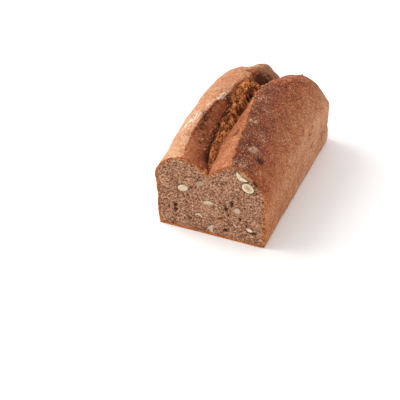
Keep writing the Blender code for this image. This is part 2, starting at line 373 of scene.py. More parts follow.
print("stretches of a section:", ", ".join(stretches(0.0)))

# %% [markdown]
# ## Relief of the crust
#
# Dough swells unevenly, and the crust dries into puckers and fine wrinkles over that. The large swells
# are the same noise as in the measured model. The finer ones, the lumps and the dents belong to this
# crust alone: a knob at the far end of the left lobe, a nut that lifts the crust on the right, short
# creases down the right side, and a narrow gap where the crust pulled away from the torn strip.

# %% Lumps and dents
KNOB_X, KNOB_S = -0.0070, 0.1530
# place across and back, height or depth, spread, and how square the side is
HUMPS = (
    (KNOB_X, KNOB_S, 0.0058, 0.0080, 1.5),
    (-0.0082, 0.1370, -0.0066, 0.0038, 1.2),
    (-0.0140, 0.1410, 0.0030, 0.0030, 2.5),
    (-0.0190, 0.1400, -0.0014, 0.0016, 1.0),
    (0.0294, 0.0264, 0.0034, 0.0031, 2.2),
    (0.0278, 0.0284, 0.0010, 0.0016, 2.5),
    (0.0318, 0.0244, 0.0010, 0.0015, 2.5),
    (0.0352, 0.0240, -0.0038, 0.0019, 1.5),
    (0.0215, 0.1350, -0.0010, 0.0030, 1.0),
    (0.0206, 0.1250, 0.0026, 0.0020, 1.5),
    (0.0295, 0.1245, 0.0020, 0.0026, 1.5),
    (0.0150, 0.1262, 0.0014, 0.0016, 1.5),
    (0.0250, 0.1225, -0.0010, 0.0014, 1.0),
    (0.0270, 0.1560, 0.0016, 0.0020, 1.0),
    (0.0120, 0.1330, 0.0018, 0.0022, 1.0),
    (0.0060, 0.0480, 0.0014, 0.0018, 1.5),
    (0.0035, 0.0455, -0.0016, 0.0012, 1.0),
    (-0.0290, 0.0510, 0.0012, 0.0014, 1.0),
    (-0.0285, 0.0560, -0.0024, 0.0014, 1.0),
    (-0.0300, 0.0630, -0.0018, 0.0012, 1.0),
    (-0.0270, 0.0440, -0.0012, 0.0010, 1.0),
    (-0.0276, 0.0490, -0.0020, 0.0012, 1.0),
    (-0.0262, 0.0465, 0.0014, 0.0012, 1.5),
    (-0.0292, 0.0600, -0.0022, 0.0014, 1.0),
    (-0.0280, 0.0680, -0.0016, 0.0011, 1.0),
    (-0.0225, 0.0300, -0.0014, 0.0009, 1.0),
    (-0.0232, 0.0405, -0.0012, 0.0008, 1.0),
    (-0.0225, 0.0330, 0.0012, 0.0014, 1.5),
    (-0.0170, 0.0260, 0.0009, 0.0010, 1.0),
    (-0.0215, 0.0840, 0.0014, 0.0018, 1.5),
    (-0.0168, 0.0832, -0.0034, 0.0019, 1.5),
    (-0.0182, 0.0771, -0.0030, 0.0018, 1.5),
    (-0.0190, 0.0659, -0.0026, 0.0014, 1.5),
)
print("humps and dents:", len(HUMPS))

# %% Creases and fine relief
# creases on the right side: place back and up, length, width, depth
CREASES = (
    (0.1080, 0.0512, 0.0046, 0.0034, 0.0014),
    (0.1135, 0.0555, 0.0026, 0.0070, 0.0008),
    (0.1215, 0.0590, 0.0024, 0.0080, 0.0006),
    (0.1173, 0.0312, 0.0050, 0.0036, 0.0014),
    (0.1195, 0.0345, 0.0040, 0.0030, 0.0008),
    (0.0948, 0.0627, 0.0030, 0.0028, 0.0010),
    (0.1090, 0.0210, 0.0032, 0.0026, 0.0009),
    (0.1505, 0.0200, 0.0170, 0.0022, 0.0009),
    (0.1440, 0.0330, 0.0120, 0.0018, 0.0006),
    (0.0700, 0.0330, 0.0024, 0.0020, 0.0005),
    (0.0520, 0.0240, 0.0024, 0.0020, 0.0005),
)
SWELL_DEPTH, SWELL_SIZE = 0.0015, 0.021
PUCKER_DEPTH, PUCKER_SIZE = 0.0006, 0.0085
WRINKLE_DEPTH, WRINKLE_SIZE = 0.00032, 0.0034
FINE_DEPTH, FINE_SIZE = 0.00020, 0.0016
LIP_CRUMBLE, LIP_CRUMB_SIZE = 0.0022, 0.0034
CREST_CRUMBLE, CREST_CRUMB_SIZE = 0.0020, 0.0038
RELIEF_FADE = 0.006
NARROWEST_CREASE = 0.0012
UNDER_STRIP, UNDER_STRIP_FROM, UNDER_STRIP_OVER = 0.0028, 0.004, 0.008
GAP_DEPTH, GAP_SHARE = 0.0024, 0.165
GAP_FROM, GAP_FROM_OVER = 0.008, 0.012
GAP_TO, GAP_TO_OVER = 0.078, 0.020


def rising(value, start, over):
    """0 up to start, then a straight climb to 1."""
    return np.clip((value - start) / over, 0, 1)


def falling(value, end, over):
    """A straight fall from 1 that reaches 0 at end."""
    return np.clip((end - value) / over, 0, 1)


def gap_at(s, share):
    """How much of the gap beside the torn strip is there, share up the left wall of the split."""
    fades = rising(s, GAP_FROM, GAP_FROM_OVER) * falling(s, GAP_TO, GAP_TO_OVER)
    return fades * np.exp(-((share / GAP_SHARE) ** 2))


def hump(x, s, across, back, spread, square):
    """How much of a hump is left at each place, from 1 at its middle."""
    return np.exp(-((((x - across) ** 2 + (s - back) ** 2) / (2 * spread**2)) ** square))


def lumps(x, s):
    """Height that the humps and dents add to the risen top."""
    return sum(rise * hump(x, s, a, b, spread, square) for a, b, rise, spread, square in HUMPS)


def creases(s, z):
    """How far the right side sinks in its short upright creases."""
    sunk = 0.0
    for back, up, long, wide, deep in CREASES:
        beside = (s - back) / max(0.5 * wide, NARROWEST_CREASE)
        sunk += deep * math.exp(-(beside**2) - ((z - up) / (0.6 * long)) ** 2)
    return -sunk


def relief(x, s, z):
    place = Vector((x, s, z))
    rise = SWELL_DEPTH * noise.noise(place / SWELL_SIZE) + PUCKER_DEPTH * noise.noise(place / PUCKER_SIZE)
    rise += WRINKLE_DEPTH * noise.noise(place / WRINKLE_SIZE) + FINE_DEPTH * noise.noise(place / FINE_SIZE)
    return rise * min(1.0, z / RELIEF_FADE)


print("creases:", len(CREASES))

# %% [markdown]
# ## The crust
#
# The crust is the loft itself, closed at the far end by a flat wall whose edge is rounded, and behind
# the cut by a plain cap that the crumb covers. Its lips crumble, since the dough tore there. Under the
# torn strip it is lowered, so that the strip, a piece of its own, stands between gaps, and painted shade
# on the crust darkens the gap beside the strip.

# %% Columns of the loft
COLUMNS = {
    "floor": 20,
    "right_wall": 44,
    "right_shoulder": 88,
    "right_top": 14,
    "split_right": 40,
    "torn": 30,
    "split_left": 50,
    "left_shoulder": 80,
    "left_wall": 36,
}
STRAIGHT_ROWS, END_ROWS = 196, 13
END_ROUND, END_SIDE_INSET, END_TOP_INSET = 0.011, 0.006, 0.009
END_FOOT_LIFT, END_LEAN, END_LEAN_POWER = 0.002, -0.11, 8
CREASED_FROM = 0.045
LIP_BAND, CREST_BAND = 0.20, 0.22

name_of = np.repeat(list(COLUMNS), list(COLUMNS.values()))
share_of = np.concatenate([np.arange(count) / count for count in COLUMNS.values()])
around = len(name_of)
on_side = np.isin(name_of, ["right_wall", "left_wall"])
on_top = ~np.isin(name_of, ["floor", "right_wall", "left_wall"])
print("points in one ring of the crust:", around)

# %% Loft the crust
def plain_ring(s):
    found = stretches(s)
    return np.vstack([resampled(found[name], count) for name, count in COLUMNS.items()])


def crumbled(depth, away, place):
    """Rough relief beside a torn edge, strongest on the edge itself, where away is 0."""
    return depth * math.exp(-(away**2)) * noise.noise(place)


def raised(name, share, x, s, z):
    """How far the crust swells out or in at one place of a section."""
    rise = relief(x, s, z)
    place = Vector((x, s, z))
    if name in ("right_wall", "right_shoulder") and x > CREASED_FROM:
        rise += creases(s, z)
    if name in ("right_top", "split_right"):
        past_lip = share - 1 if name == "right_top" else share
        rise += crumbled(LIP_CRUMBLE, past_lip / LIP_BAND, place / LIP_CRUMB_SIZE)
    if name in ("split_left", "left_shoulder"):
        past_crest = share - 1 if name == "split_left" else 2 * share
        rise += crumbled(CREST_CRUMBLE, past_crest / CREST_BAND, place / CREST_CRUMB_SIZE)
    return rise


def finished_ring(s, turn):
    """One ring of the crust. turn is 0 on the straight part and 1 at the far wall."""
    outline = plain_ring(s)
    step = np.roll(outline, -2, axis=0) - np.roll(outline, 2, axis=0)
    across = np.stack([step[:, 1], -step[:, 0]], axis=-1) / np.hypot(*step.T)[:, None]
    rise = np.zeros(around)
    lift = lumps(outline[:, 0], s) * on_top
    for i, (name, share, (x, z)) in enumerate(zip(name_of, share_of, outline)):
        if name != "floor":
            rise[i] = raised(name, share, x, s, z)
        if name == "torn":
            lift[i] -= UNDER_STRIP * math.sin(math.pi * share) * rising(s, UNDER_STRIP_FROM, UNDER_STRIP_OVER)
        if name in ("torn", "split_left"):
            lift[i] -= GAP_DEPTH * gap_at(s, share if name == "split_left" else 1 - share)
    bent = outline + across * rise[:, None]
    bent[:, 1] += lift
    inset = 1 - math.cos(math.pi / 2 * turn)
    bent[:, 0] *= 1 - END_SIDE_INSET / BASE_RIGHT * inset
    bent[:, 1] = bent[:, 1] * (1 - END_TOP_INSET / RIGHT_CREST_Z[3] * inset) + END_FOOT_LIFT * inset
    lean = END_LEAN * bent[:, 1] * (s / LENGTH) ** END_LEAN_POWER
    return np.stack([bent[:, 0], s + lean + CUT_Y, bent[:, 1]], axis=-1)


straight = LENGTH - END_ROUND
row_s = [straight * k / STRAIGHT_ROWS for k in range(STRAIGHT_ROWS + 1)]
row_s += [straight + END_ROUND * math.sin(math.pi / 2 * k / END_ROWS) for k in range(1, END_ROWS + 1)]
row_turn = [0.0] * (STRAIGHT_ROWS + 1) + [k / END_ROWS for k in range(1, END_ROWS + 1)]
crust_rings = np.array([finished_ring(s, turn) for s, turn in zip(row_s, row_turn)])
cut_outline = crust_rings[0][:, [0, 2]]
print("crust rings:", crust_rings.shape[:2], "outline points round the cut:", len(cut_outline))

# %% [markdown]
# ## How brown, and how floury
#
# The crust's colour depends on where it lay in the oven. The lobes' tops are darkest by the lip, the
# walls that touched the tin stayed tan, and the left lobe kept a pale dusty skin. In the split, the left
# wall is deep red brown at its foot, and the right wall is pale near the cut and browner behind. Each
# stretch gets a browning and a flour value at its start and its end, and soft spots are added for
# patches of flour and torn edges, and for painted shade in the dents, in the hollow before the knob,
# in the gap beside the torn strip, under the left crest and where the wall hangs over the strip. All of
# it is written on the mesh as attributes that the material reads, so each mark keeps its place on the
# bread.

# %% Tables of browning and flour
# each stretch's start and then its end, both near the cut and far from it
BROWNING = {
    "floor": ((0.45, 0.45), (0.45, 0.45)),
    "right_wall": ((0.28, 0.18), (0.35, 0.14)),
    "right_shoulder": ((0.35, 0.11), (0.92, 0.88)),
    "right_top": ((0.92, 0.88), (0.72, 0.68)),
    "split_right": ((0.30, 0.56), (0.34, 0.68)),
    "torn": ((0.80, 0.80), (0.88, 0.80)),
    "split_left": ((0.79, 0.52), (0.38, 0.42)),
    "left_shoulder": ((0.20, 0.34), (0.08, 0.26)),
    "left_wall": ((0.08, 0.22), (0.16, 0.24)),
}
FLOUR = {
    "floor": ((0.10, 0.10), (0.10, 0.10)),
    "right_wall": ((0.06, 0.12), (0.14, 0.26)),
    "right_shoulder": ((0.14, 0.28), (0.25, 0.22)),
    "right_top": ((0.25, 0.22), (0.22, 0.08)),
    "split_right": ((0.12, 0.04), (0.04, 0.02)),
    "torn": ((0.00, 0.00), (0.00, 0.00)),
    "split_left": ((0.00, 0.00), (0.08, 0.06)),
    "left_shoulder": ((0.80, 0.52), (0.72, 0.40)),
    "left_wall": ((0.72, 0.40), (0.34, 0.24)),
}
# patches where flour gathered: place across and back, spread, strength
FLOUR_PATCHES = (
    (0.0150, 0.0610, 0.0034, 0.60),
    (0.0130, 0.0930, 0.0038, 0.50),
    (0.0215, 0.0240, 0.0034, 0.18),
    (0.0270, 0.0460, 0.0045, 0.28),
    (0.0210, 0.0780, 0.0050, 0.25),
    (0.0240, 0.0060, 0.0045, 0.50),
    (0.0278, 0.0280, 0.0024, 0.80),
    (-0.0380, 0.0480, 0.0050, 0.25),
    (-0.0400, 0.0620, 0.0050, 0.25),
)
# flour smeared into streaks: place across and back, spread, strength
SMEARS = (
    (-0.0415, 0.0370, 0.0050, 0.15),
    (-0.0398, 0.0440, 0.0056, 0.18),
    (-0.0380, 0.0510, 0.0056, 0.19),
    (-0.0362, 0.0590, 0.0050, 0.20),
    (-0.0342, 0.0670, 0.0034, 0.26),
    (-0.0322, 0.0740, 0.0020, 0.42),
    (-0.0298, 0.0815, 0.0014, 0.60),
    (-0.0278, 0.0860, 0.0013, 0.70),
    (-0.0261, 0.0900, 0.0015, 0.76),
    (-0.0244, 0.0940, 0.0016, 0.78),
    (-0.0230, 0.0980, 0.0015, 0.74),
    (-0.0217, 0.1020, 0.0013, 0.66),
    (-0.0082, 0.1430, 0.0010, 0.34),
)
# where the far right ridge is torn open and warm in colour: place across and back, spread
TORN_RIDGE = (
    (0.0057, 0.1284, 0.0024),
    (0.0105, 0.1308, 0.0026),
    (0.0150, 0.1262, 0.0018),
    (0.0206, 0.1250, 0.0020),
    (0.0185, 0.1330, 0.0024),
    (0.0229, 0.1366, 0.0020),
    (0.0265, 0.1424, 0.0018),
)
print("flour patches:", len(FLOUR_PATCHES), "streak parts:", len(SMEARS))

# %% Browning and flour over the crust
FAR_FROM_CUT = 0.13
TOP_FROM = 0.06
FLOUR_BEND = 1.6
SHADED_DENT_FROM = -0.0011

ring_x, ring_s, ring_z = crust_rings[..., 0], np.array(row_s)[:, None], crust_rings[..., 2]
on_split_left, on_split_right = name_of == "split_left", name_of == "split_right"


def spread_over(table, bend=1.0):
    """The table's values on every point of the crust's rings, softened where stretches meet."""
    back = np.clip(np.array(row_s) / FAR_FROM_CUT, 0, 1)[:, None]
    start, end = (np.array([table[name][k] for name in name_of]) for k in (0, 1))
    near, far = (start[:, k] + (end[:, k] - start[:, k]) * share_of**bend for k in (0, 1))
    return blurred(near + (far - near) * back, 1)


def spot(across, back, spread, square=1):
    """A soft round spot on the risen top, 1 in its middle."""
    return hump(ring_x, ring_s, across, back, spread, square) * (ring_z > TOP_FROM)


browning, flour = spread_over(BROWNING), spread_over(FLOUR, FLOUR_BEND)
on_knob = spot(KNOB_X, KNOB_S, 0.0075)
browning += (0.48 - browning) * np.clip(1.4 * on_knob, 0, 1)
flour += 0.35 * on_knob
# the far end of the right lobe is lighter in colour
browning -= 0.27 * spot(0.0220, 0.1500, 0.0140) * (ring_x > 0.006)
for across, back, spread, strength in FLOUR_PATCHES:
    flour += strength * spot(across, back, spread) * ~on_split_left
# streaks lie on the crest and spill over its edge only where the wall is torn
smear = sum(amount * spot(across, back, spread) for across, back, spread, amount in SMEARS)
smear *= ~on_split_left | ((ring_s > 0.084) & (share_of > 0.75))
floury_skin = 0.6 * np.clip(1.3 * on_knob, 0, 1)
floury_skin += 0.95 * spot(0.0288, 0.0270, 0.0029, 1.5)
print("flour from", round(float(flour.min()), 2), "to", round(float(flour.max()), 2))

# %% Painted shade in dents, and torn edges that are warm in colour
# painted shade: the deeper dents are darkened
shaded_pit = sum(spot(a, b, spread, square) for a, b, rise, spread, square in HUMPS if rise < SHADED_DENT_FROM)
# painted shade in the hollow between the knob and the torn strip, and in the gap beside the strip
shaded_pit += spot(-0.0050, 0.1425, 0.0050, 1.5) * (ring_z < 0.0795)
shaded_pit += 1.1 * gap_at(ring_s, share_of) * on_split_left
# the right side is warm in colour near the cut, and so is the torn lip above the split
warm = (1 - ring_s / 0.075).clip(0, 1) * (ring_x > 0.035) * (ring_z < 0.075)
on_lip = on_split_right * np.clip(1 - share_of / 0.25, 0, 1) * rising(ring_s, 0.05, 0.04)
warm = warm + on_lip
browning -= 0.22 * on_lip
for across, back, spread in TORN_RIDGE:
    torn_open = spot(across, back, spread)
    warm = warm + torn_open
    browning -= 0.24 * torn_open
browning -= 0.06 * spot(0.0295, 0.1245, 0.0026)
# above the strip the wall is torn and dusty, with painted shade where it hangs over
over_strip = on_split_left * rising(share_of, 0.62, 0.20)
over_strip = over_strip * rising(ring_s, 0.088, 0.012) * falling(ring_s, 0.134, 0.008)
browning -= 0.30 * over_strip
flour += 0.45 * over_strip
overhang_shade = on_split_left * hump(ring_x, ring_s, -0.0216, 0.0950, 0.0034, 1)
browning += 0.50 * overhang_shade
flour -= 0.30 * overhang_shade
# painted shadow just under the left crest, on the wall of the split
crest_shadow = on_split_left * np.exp(-(((share_of - 0.92) / 0.08) ** 2))
browning += 0.28 * crest_shadow * rising(ring_s, 0.02, 0.02) * falling(ring_s, 0.105, 0.02)
print("browning from", round(float(browning.min()), 2), "to", round(float(browning.max()), 2))

# %% Where crumbs lie
tearing = np.zeros_like(browning)
tearing[:, name_of == "torn"] = 0.20
tearing[:, on_split_right & ((share_of < 0.15) | (share_of > 0.75))] = 0.5
tearing[:, on_split_left & (share_of < 0.35)] = 0.45
tearing[:, on_split_left & (share_of > 0.85)] = 0.25
tearing = blurred(tearing, 2) * rising(ring_s, 0.02, 0.03) * (ring_s < 0.145)
print("points with crumbs near them:", int((tearing > 0.1).sum()))

# %% [markdown]
# ## The crust's finish
#
# Baked crust runs from pale tan through brown to nearly black as it dries. The browning value picks
# the colour on that scale, and three sizes of grain break it up. Flour left on the dough is a thin film
# with cream specks of three sizes in it, and on the left crest it is drawn out into pale streaks. The
# bump gives the pores and the sandy skin. A picture of bread laid over the loaf would be quicker, but
# would stretch on the steep walls, and nodes that read the place in the object don't.

# %% Colours of the crust
PALE_CRUST = (0.68, 0.365, 0.205)
TAN_CRUST = (0.485, 0.192, 0.079)
BROWN_CRUST = (0.31, 0.082, 0.030)
RED_CRUST = (0.185, 0.041, 0.015)
DARK_CRUST = (0.105, 0.026, 0.012)
PAINTED_PIT_SHADE = (0.050, 0.014, 0.007)
FLOUR_DUST = (0.66, 0.49, 0.355)
FLOUR_SPECK = (0.70, 0.46, 0.265)
SMEARED_FLOUR = (0.86, 0.69, 0.53)
FRECKLE, DRY_SPOT = (1.75, 1.65, 1.55), (0.62, 0.54, 0.50)
RUDDY, ORANGE_CAST = (1.0, 0.92, 0.90), (1.04, 0.97, 0.84)
FLOURED_HUSK, CREASE_SHADE = (0.38, 0.25, 0.17), (0.190, 0.045, 0.014)
BAKING_SCALE = (
    (0.0, PALE_CRUST),
    (0.28, TAN_CRUST),
    (0.58, BROWN_CRUST),
    (0.82, RED_CRUST),
    (1.0, DARK_CRUST),
)
print("steps from pale to dark:", len(BAKING_SCALE))

# %% Specks, and painted shade in creases
SPECK_RAGGED, SPECK_SOFT_FROM, SPECK_SOFT_TO = 0.35, 0.10, 0.24
CREASE_WAVE, CREASE_REACH_IN, DEEPEST_CREASE = 0.0022, 0.012, 0.0012


def speckled(tree, place, apart, chance, reach, rough):
    """Ragged dots, apart metres from each other, of which the share called chance is there."""
    cells = put(tree, "ShaderNodeTexVoronoi", {"Vector": place, "Scale": 1 / apart})
    drawn = put(tree, "ShaderNodeSeparateColor", {0: cells.outputs["Color"]}).outputs[0]
    ragged = plus(tree, cells.outputs["Distance"], times(tree, rough, SPECK_RAGGED))
    outside = between(tree, ragged, reach + SPECK_SOFT_FROM, reach + SPECK_SOFT_TO)
    return times(tree, minus(tree, 1.0, outside), calculate(tree, "LESS_THAN", drawn, chance))


def crease_shade(tree, place):
    """1 inside the creases of the right side and 0 elsewhere, where the colour gets painted shade."""
    waves = put(tree, "ShaderNodeTexNoise", {"Vector": place, "Scale": 1 / CREASE_WAVE, "Detail": 2.0})
    shift = vectors(tree, "SUBTRACT", waves.outputs["Color"], (0.5, 0.5, 0.5))
    shift = put(tree, "ShaderNodeVectorMath", {0: shift, "Scale": CREASE_WAVE}, operation="SCALE").outputs[0]
    moved = vectors(tree, "ADD", place, shift)
    inside = 0.0
    for back, up, long, wide, deep in CREASES:
        near = vectors(tree, "SUBTRACT", moved, (BASE_RIGHT, back + CUT_Y, up))
        near = vectors(tree, "MULTIPLY", near, (1 / CREASE_REACH_IN, 2 / wide, 2 / long))
        reach = put(tree, "ShaderNodeVectorMath", {0: near}, operation="LENGTH").outputs["Value"]
        crack = between(tree, minus(tree, 1.35, reach), 0.0, 0.7)
        inside = calculate(tree, "MAXIMUM", times(tree, crack, min(1.0, deep / DEEPEST_CREASE)), inside)
    return inside


print("speck and crease helpers ready")

# %% Crust material
FILM, SPECKS, STREAKS = 0.48, 0.86, 0.85
STREAK_STRETCH = (1.0, 0.24, 1.0)
# specks of flour: how far apart, share of them there in full dust, reach of each
SPECK_SIZES = ((0.0009, 0.80, 0.34), (0.0013, 0.75, 0.32), (0.0021, 0.30, 0.24))


def baked_colour(tree, place, colour, blotches):
    """The baked colour with its freckles, dry spots and ruddy patches, and painted shade in dents and
    creases.
    """
    freckles = between(tree, grain(tree, place, 0.0011, 2, 0.6), 0.54, 0.66)
    colour = blend_colours(tree, times(tree, freckles, 0.60), colour, FRECKLE, "MULTIPLY")
    flecks = between(tree, grain(tree, place, 0.0014, 2, 0.6), 0.36, 0.46)
    dry = times(tree, minus(tree, 1.0, flecks), 0.80)
    colour = blend_colours(tree, dry, colour, DRY_SPOT, "MULTIPLY")
    patches = between(tree, grain(tree, place, 0.0240, 2), 0.40, 0.60)
    colour = blend_colours(tree, patches, colour, RUDDY, "MULTIPLY")
    colour = blend_colours(tree, attribute(tree, "warm"), colour, ORANGE_CAST, "MULTIPLY")
    husk = times(tree, attribute(tree, "husk"), between(tree, blotches, 0.30, 0.58))
    colour = blend_colours(tree, husk, colour, FLOURED_HUSK)
    # painted shade in the deeper dents, the hollow before the knob and the gap beside the torn strip
    colour = blend_colours(tree, attribute(tree, "shaded_pit"), colour, PAINTED_PIT_SHADE)
    # painted shade in the right side's creases
    return blend_colours(tree, times(tree, crease_shade(tree, place), 0.80), colour, CREASE_SHADE)


def crust_material():
    material, tree, shader, place = new_material("crust")
    mottle, blotches = grain(tree, place, 0.011, 4), grain(tree, place, 0.0034, 3)
    pores, sand = grain(tree, place, 0.0013, 3, 0.65), grain(tree, place, 0.0006, 2, 0.6)
    brown = attribute(tree, "browning")
    for part, weight in ((mottle, 0.60), (blotches, 0.70), (pores, 1.35)):
        brown = plus(tree, brown, times(tree, minus(tree, part, 0.5), weight))
    colour = ramp_colours(tree, brown, BAKING_SCALE)
    gathered = plus(tree, 0.35, times(tree, between(tree, blotches, 0.42, 0.62), 1.15))
    dust = times(tree, attribute(tree, "flour"), gathered)
    colour = blend_colours(tree, times(tree, between(tree, dust, 0.40, 1.20), FILM), colour, FLOUR_DUST)
    colour = baked_colour(tree, place, colour, blotches)

    for apart, share, reach in SPECK_SIZES:
        dots = speckled(tree, place, apart, times(tree, dust, share), reach, sand)
        colour = blend_colours(tree, times(tree, dots, SPECKS), colour, FLOUR_SPECK)
    drawn_out = vectors(tree, "MULTIPLY", place, STREAK_STRETCH)
    streaks = plus(tree, grain(tree, drawn_out, 0.0012, 2, 0.7), attribute(tree, "smear"))
    streaks = times(tree, between(tree, streaks, 0.78, 0.88), STREAKS)
    finish_surface(tree, shader, blend_colours(tree, streaks, colour, SMEARED_FLOUR), 0.74, 0.22)
    raise_surface(tree, shader, plus(tree, times(tree, pores, 0.8), times(tree, sand, 0.5)), 0.0013)
    return material


crust_skin = crust_material()
print("crust material nodes:", len(crust_skin.node_tree.nodes))

# %% [markdown]
# ## Close the loft
#
# The loft becomes one closed skin. The far wall is a set of shrinking rings to a centre point, so that
# it keeps a little swell, and the near end is capped just behind the cut face.

# %% Make the crust
END_SHRINK = (0.93, 0.80, 0.62, 0.40, 0.20)
END_MIDDLE_Z, END_SWELL, END_SWELL_SIZE = 0.038, 0.0008, 0.014
CUT_MIDDLE_Z = 0.036
CAP_DEPTH, CAP_SHARE = 0.0030, 0.965
DARKEST_PIT_SHADE = 0.82


def shrunk(ring, share, centre):
    return centre + (ring - centre) * share


def end_rings(last):
    """Shrinking rings that close the far wall on the slope of the last ring, and their centre point."""
    centre = np.array([0.0, last[:, 1].mean(), END_MIDDLE_Z])
    tilt = np.polyfit(last[:, 2], last[:, 1], 1)
    rings = []
    for share in END_SHRINK:
        ring = shrunk(last, share, centre)
        swell = [END_SWELL * noise.noise(Vector((p[0], 0.3, p[2])) / END_SWELL_SIZE) for p in ring]
        ring[:, 1] = np.polyval(tilt, ring[:, 2]) + swell
        rings.append(ring)
    return rings, [[centre[0], np.polyval(tilt, centre[2]), centre[2]]]


def with_ends(table, inside):
    """A table of the rings' values, carried on over the far wall, and the value on the cap's middle."""
    middle = table[-1][on_side].mean()
    fading = [middle + (table[-1] - middle) * share**3 for share in END_SHRINK]
    return np.concatenate([np.ravel([table[0], *table, *fading]), [middle, inside]])


def make_crust():
    far, tip = end_rings(crust_rings[-1])
    cap = shrunk(crust_rings[0], CAP_SHARE, np.array([0.0, CUT_Y, CUT_MIDDLE_Z])) + [0, CAP_DEPTH, 0]
    cap_centre = [[0.0, CUT_Y + CAP_DEPTH, CUT_MIDDLE_Z]]
    rows = 1 + len(crust_rings) + len(far)
    count = rows * around
    faces = [
        sheet_faces(0, rows, around, around=True),
        fan_faces(np.arange(count - around, count), count),
        fan_faces(np.arange(around), count + 1),
    ]
    values = {
        "browning": with_ends(browning, 0.5),
        "flour": with_ends(flour, 0.0),
        "smear": with_ends(smear, 0.0),
        "shaded_pit": with_ends((shaded_pit * 1.15).clip(0, DARKEST_PIT_SHADE), 0.0),
        "warm": with_ends(warm, 0.0),
        "husk": with_ends(floury_skin, 0.0),
        "flour_grains": with_ends((flour - 0.15).clip(0, 1) ** 1.5, 0.0),
        "crumb_grains": with_ends(tearing, 0.0),
    }
    return piece("crust", np.vstack([cap, *crust_rings, *far, tip, cap_centre]), faces, crust_skin, values)


crust = make_crust()

# %% [markdown]
# ## The cut face
#
# The knife left a nearly flat face full of pores, so the crumb is a fine grid stretched between the
# floor, the walls and the risen top. This is a Coons patch: each inner point blends the four edge
# curves. A slice through a solid would show the same outline, but its long thin faces can't hold pores.
# The patch's edge is the crust's own first ring, so the two pieces meet without a gap.

# %% Stretch a grid over the cut
ACROSS, UPWARD = 290, 232


def edge_curve(*names, flip=False):
    """The cut's outline along one or more stretches, from the start of the first."""
    numbers = np.concatenate([np.flatnonzero(name_of == name) for name in names])
    line = cut_outline[np.append(numbers, (numbers[-1] + 1) % around)]
    return line[::-1] if flip else line


def sampled(line, count):
    """count + 1 equally spaced points on a line, with both of its ends."""
    return points_at(line, np.linspace(0, distance_along(line)[-1], count + 1))


top_names = ("right_shoulder", "right_top", "split_right", "torn", "split_left", "left_shoulder")
low = sampled(edge_curve("floor"), ACROSS)
high = sampled(edge_curve(*top_names, flip=True), ACROSS)
left = sampled(edge_curve("left_wall", flip=True), UPWARD)
right = sampled(edge_curve("right_wall"), UPWARD)
u = np.linspace(0, 1, ACROSS + 1)[None, :, None]
v = np.linspace(0, 1, UPWARD + 1)[:, None, None]
patch = (1 - v) * low[None] + v * high[None] + (1 - u) * left[:, None] + u * right[:, None]
patch -= (1 - u) * (1 - v) * low[0] + u * (1 - v) * low[-1] + (1 - u) * v * high[0] + u * v * high[-1]
print("cut face grid:", patch.shape[:2])

# %% [markdown]
# ## Pores, holes and sockets
#
# Gas made the crumb, so it is a foam: many pores about a millimetre across, fewer of two, and a handful
# of large holes. A bump would do for the smallest, but the others need real walls that catch the light.
# Each pore is a round dent at a random but fixed place, and the large holes have places of their own.
# The nuts lie in shallow sockets. The depth is kept as an attribute too, and the crumb's material paints
# shade into the pores with it, darker the deeper.

# %% Nuts and holes in the cut
# place across and up, length, width, tilt in degrees, bend of a crescent, and how dull it looks
NUTS = {
    "hazelnut_left": (-0.0266, 0.0450, 0.0102, 0.0070, 16, 0.0, 0.25),
    "hazelnut_whole": (0.0333, 0.0616, 0.0116, 0.0096, -27, 0.0, 0.0),
    "hazelnut_under_crust": (0.0272, 0.0716, 0.0125, 0.0044, -36, -0.0014, 0.0),
    "hazelnut_middle": (-0.0029, 0.0353, 0.0099, 0.0040, 9, 0.0003, 0.40),
    "hazelnut_sliver": (-0.0117, 0.0188, 0.0080, 0.0026, -9, 0.0014, 0.40),
    "hazelnut_base": (0.0008, 0.0078, 0.0090, 0.0048, 84, 0.0016, 0.55),
    "hazelnut_pale": (0.0241, 0.0343, 0.0064, 0.0058, 70, 0.0, 0.60),
    "hazelnut_chip": (0.0356, 0.0163, 0.0062, 0.0036, -18, 0.0, 0.10),
    "hazelnut_smeared": (-0.0106, 0.0542, 0.0092, 0.0052, 25, 0.0, 0.97),
}
# place across and up, length, width, tilt in degrees, depth
HOLES = (
    (-0.0341, 0.0235, 0.0056, 0.0040, 80, 0.0030),
    (-0.0338, 0.0188, 0.0046, 0.0042, 90, 0.0030),
    (0.0188, 0.0400, 0.0078, 0.0038, 84, 0.0032),
    (0.0134, 0.0326, 0.0044, 0.0038, 60, 0.0030),
    (0.0130, 0.0090, 0.0054, 0.0038, 50, 0.0028),
    (0.0264, 0.0252, 0.0042, 0.0032, 90, 0.0024),
    (0.0385, 0.0128, 0.0086, 0.0030, 6, 0.0026),
    (0.0398, 0.0666, 0.0076, 0.0032, -52, 0.0030),
    (-0.0350, 0.0060, 0.0044, 0.0018, 20, 0.0016),
    (0.0165, 0.0730, 0.0024, 0.0020, 0, 0.0016),
    (0.0196, 0.0730, 0.0022, 0.0018, 0, 0.0016),
    (0.0100, 0.0590, 0.0034, 0.0018, -10, 0.0016),
    (0.0492, 0.0330, 0.0024, 0.0020, 0, 0.0018),
    (0.0494, 0.0272, 0.0022, 0.0018, 0, 0.0018),
    (-0.0370, 0.0085, 0.0052, 0.0018, -10, 0.0014),
)
# darker flake of nut skin and a few pale bits: place, length, width, tilt
SKIN_FLAKE = (0.0083, 0.0210, 0.0078, 0.0042, -20)
PALE_BITS = (
    (-0.0410, 0.0420, 0.0050, 0.0034, 10),
    (-0.0140, 0.0730, 0.0030, 0.0022, 0),
    (-0.0490, 0.0555, 0.0058, 0.0036, 60),
)
print("nuts:", len(NUTS), "holes:", len(HOLES), "pale bits:", len(PALE_BITS))

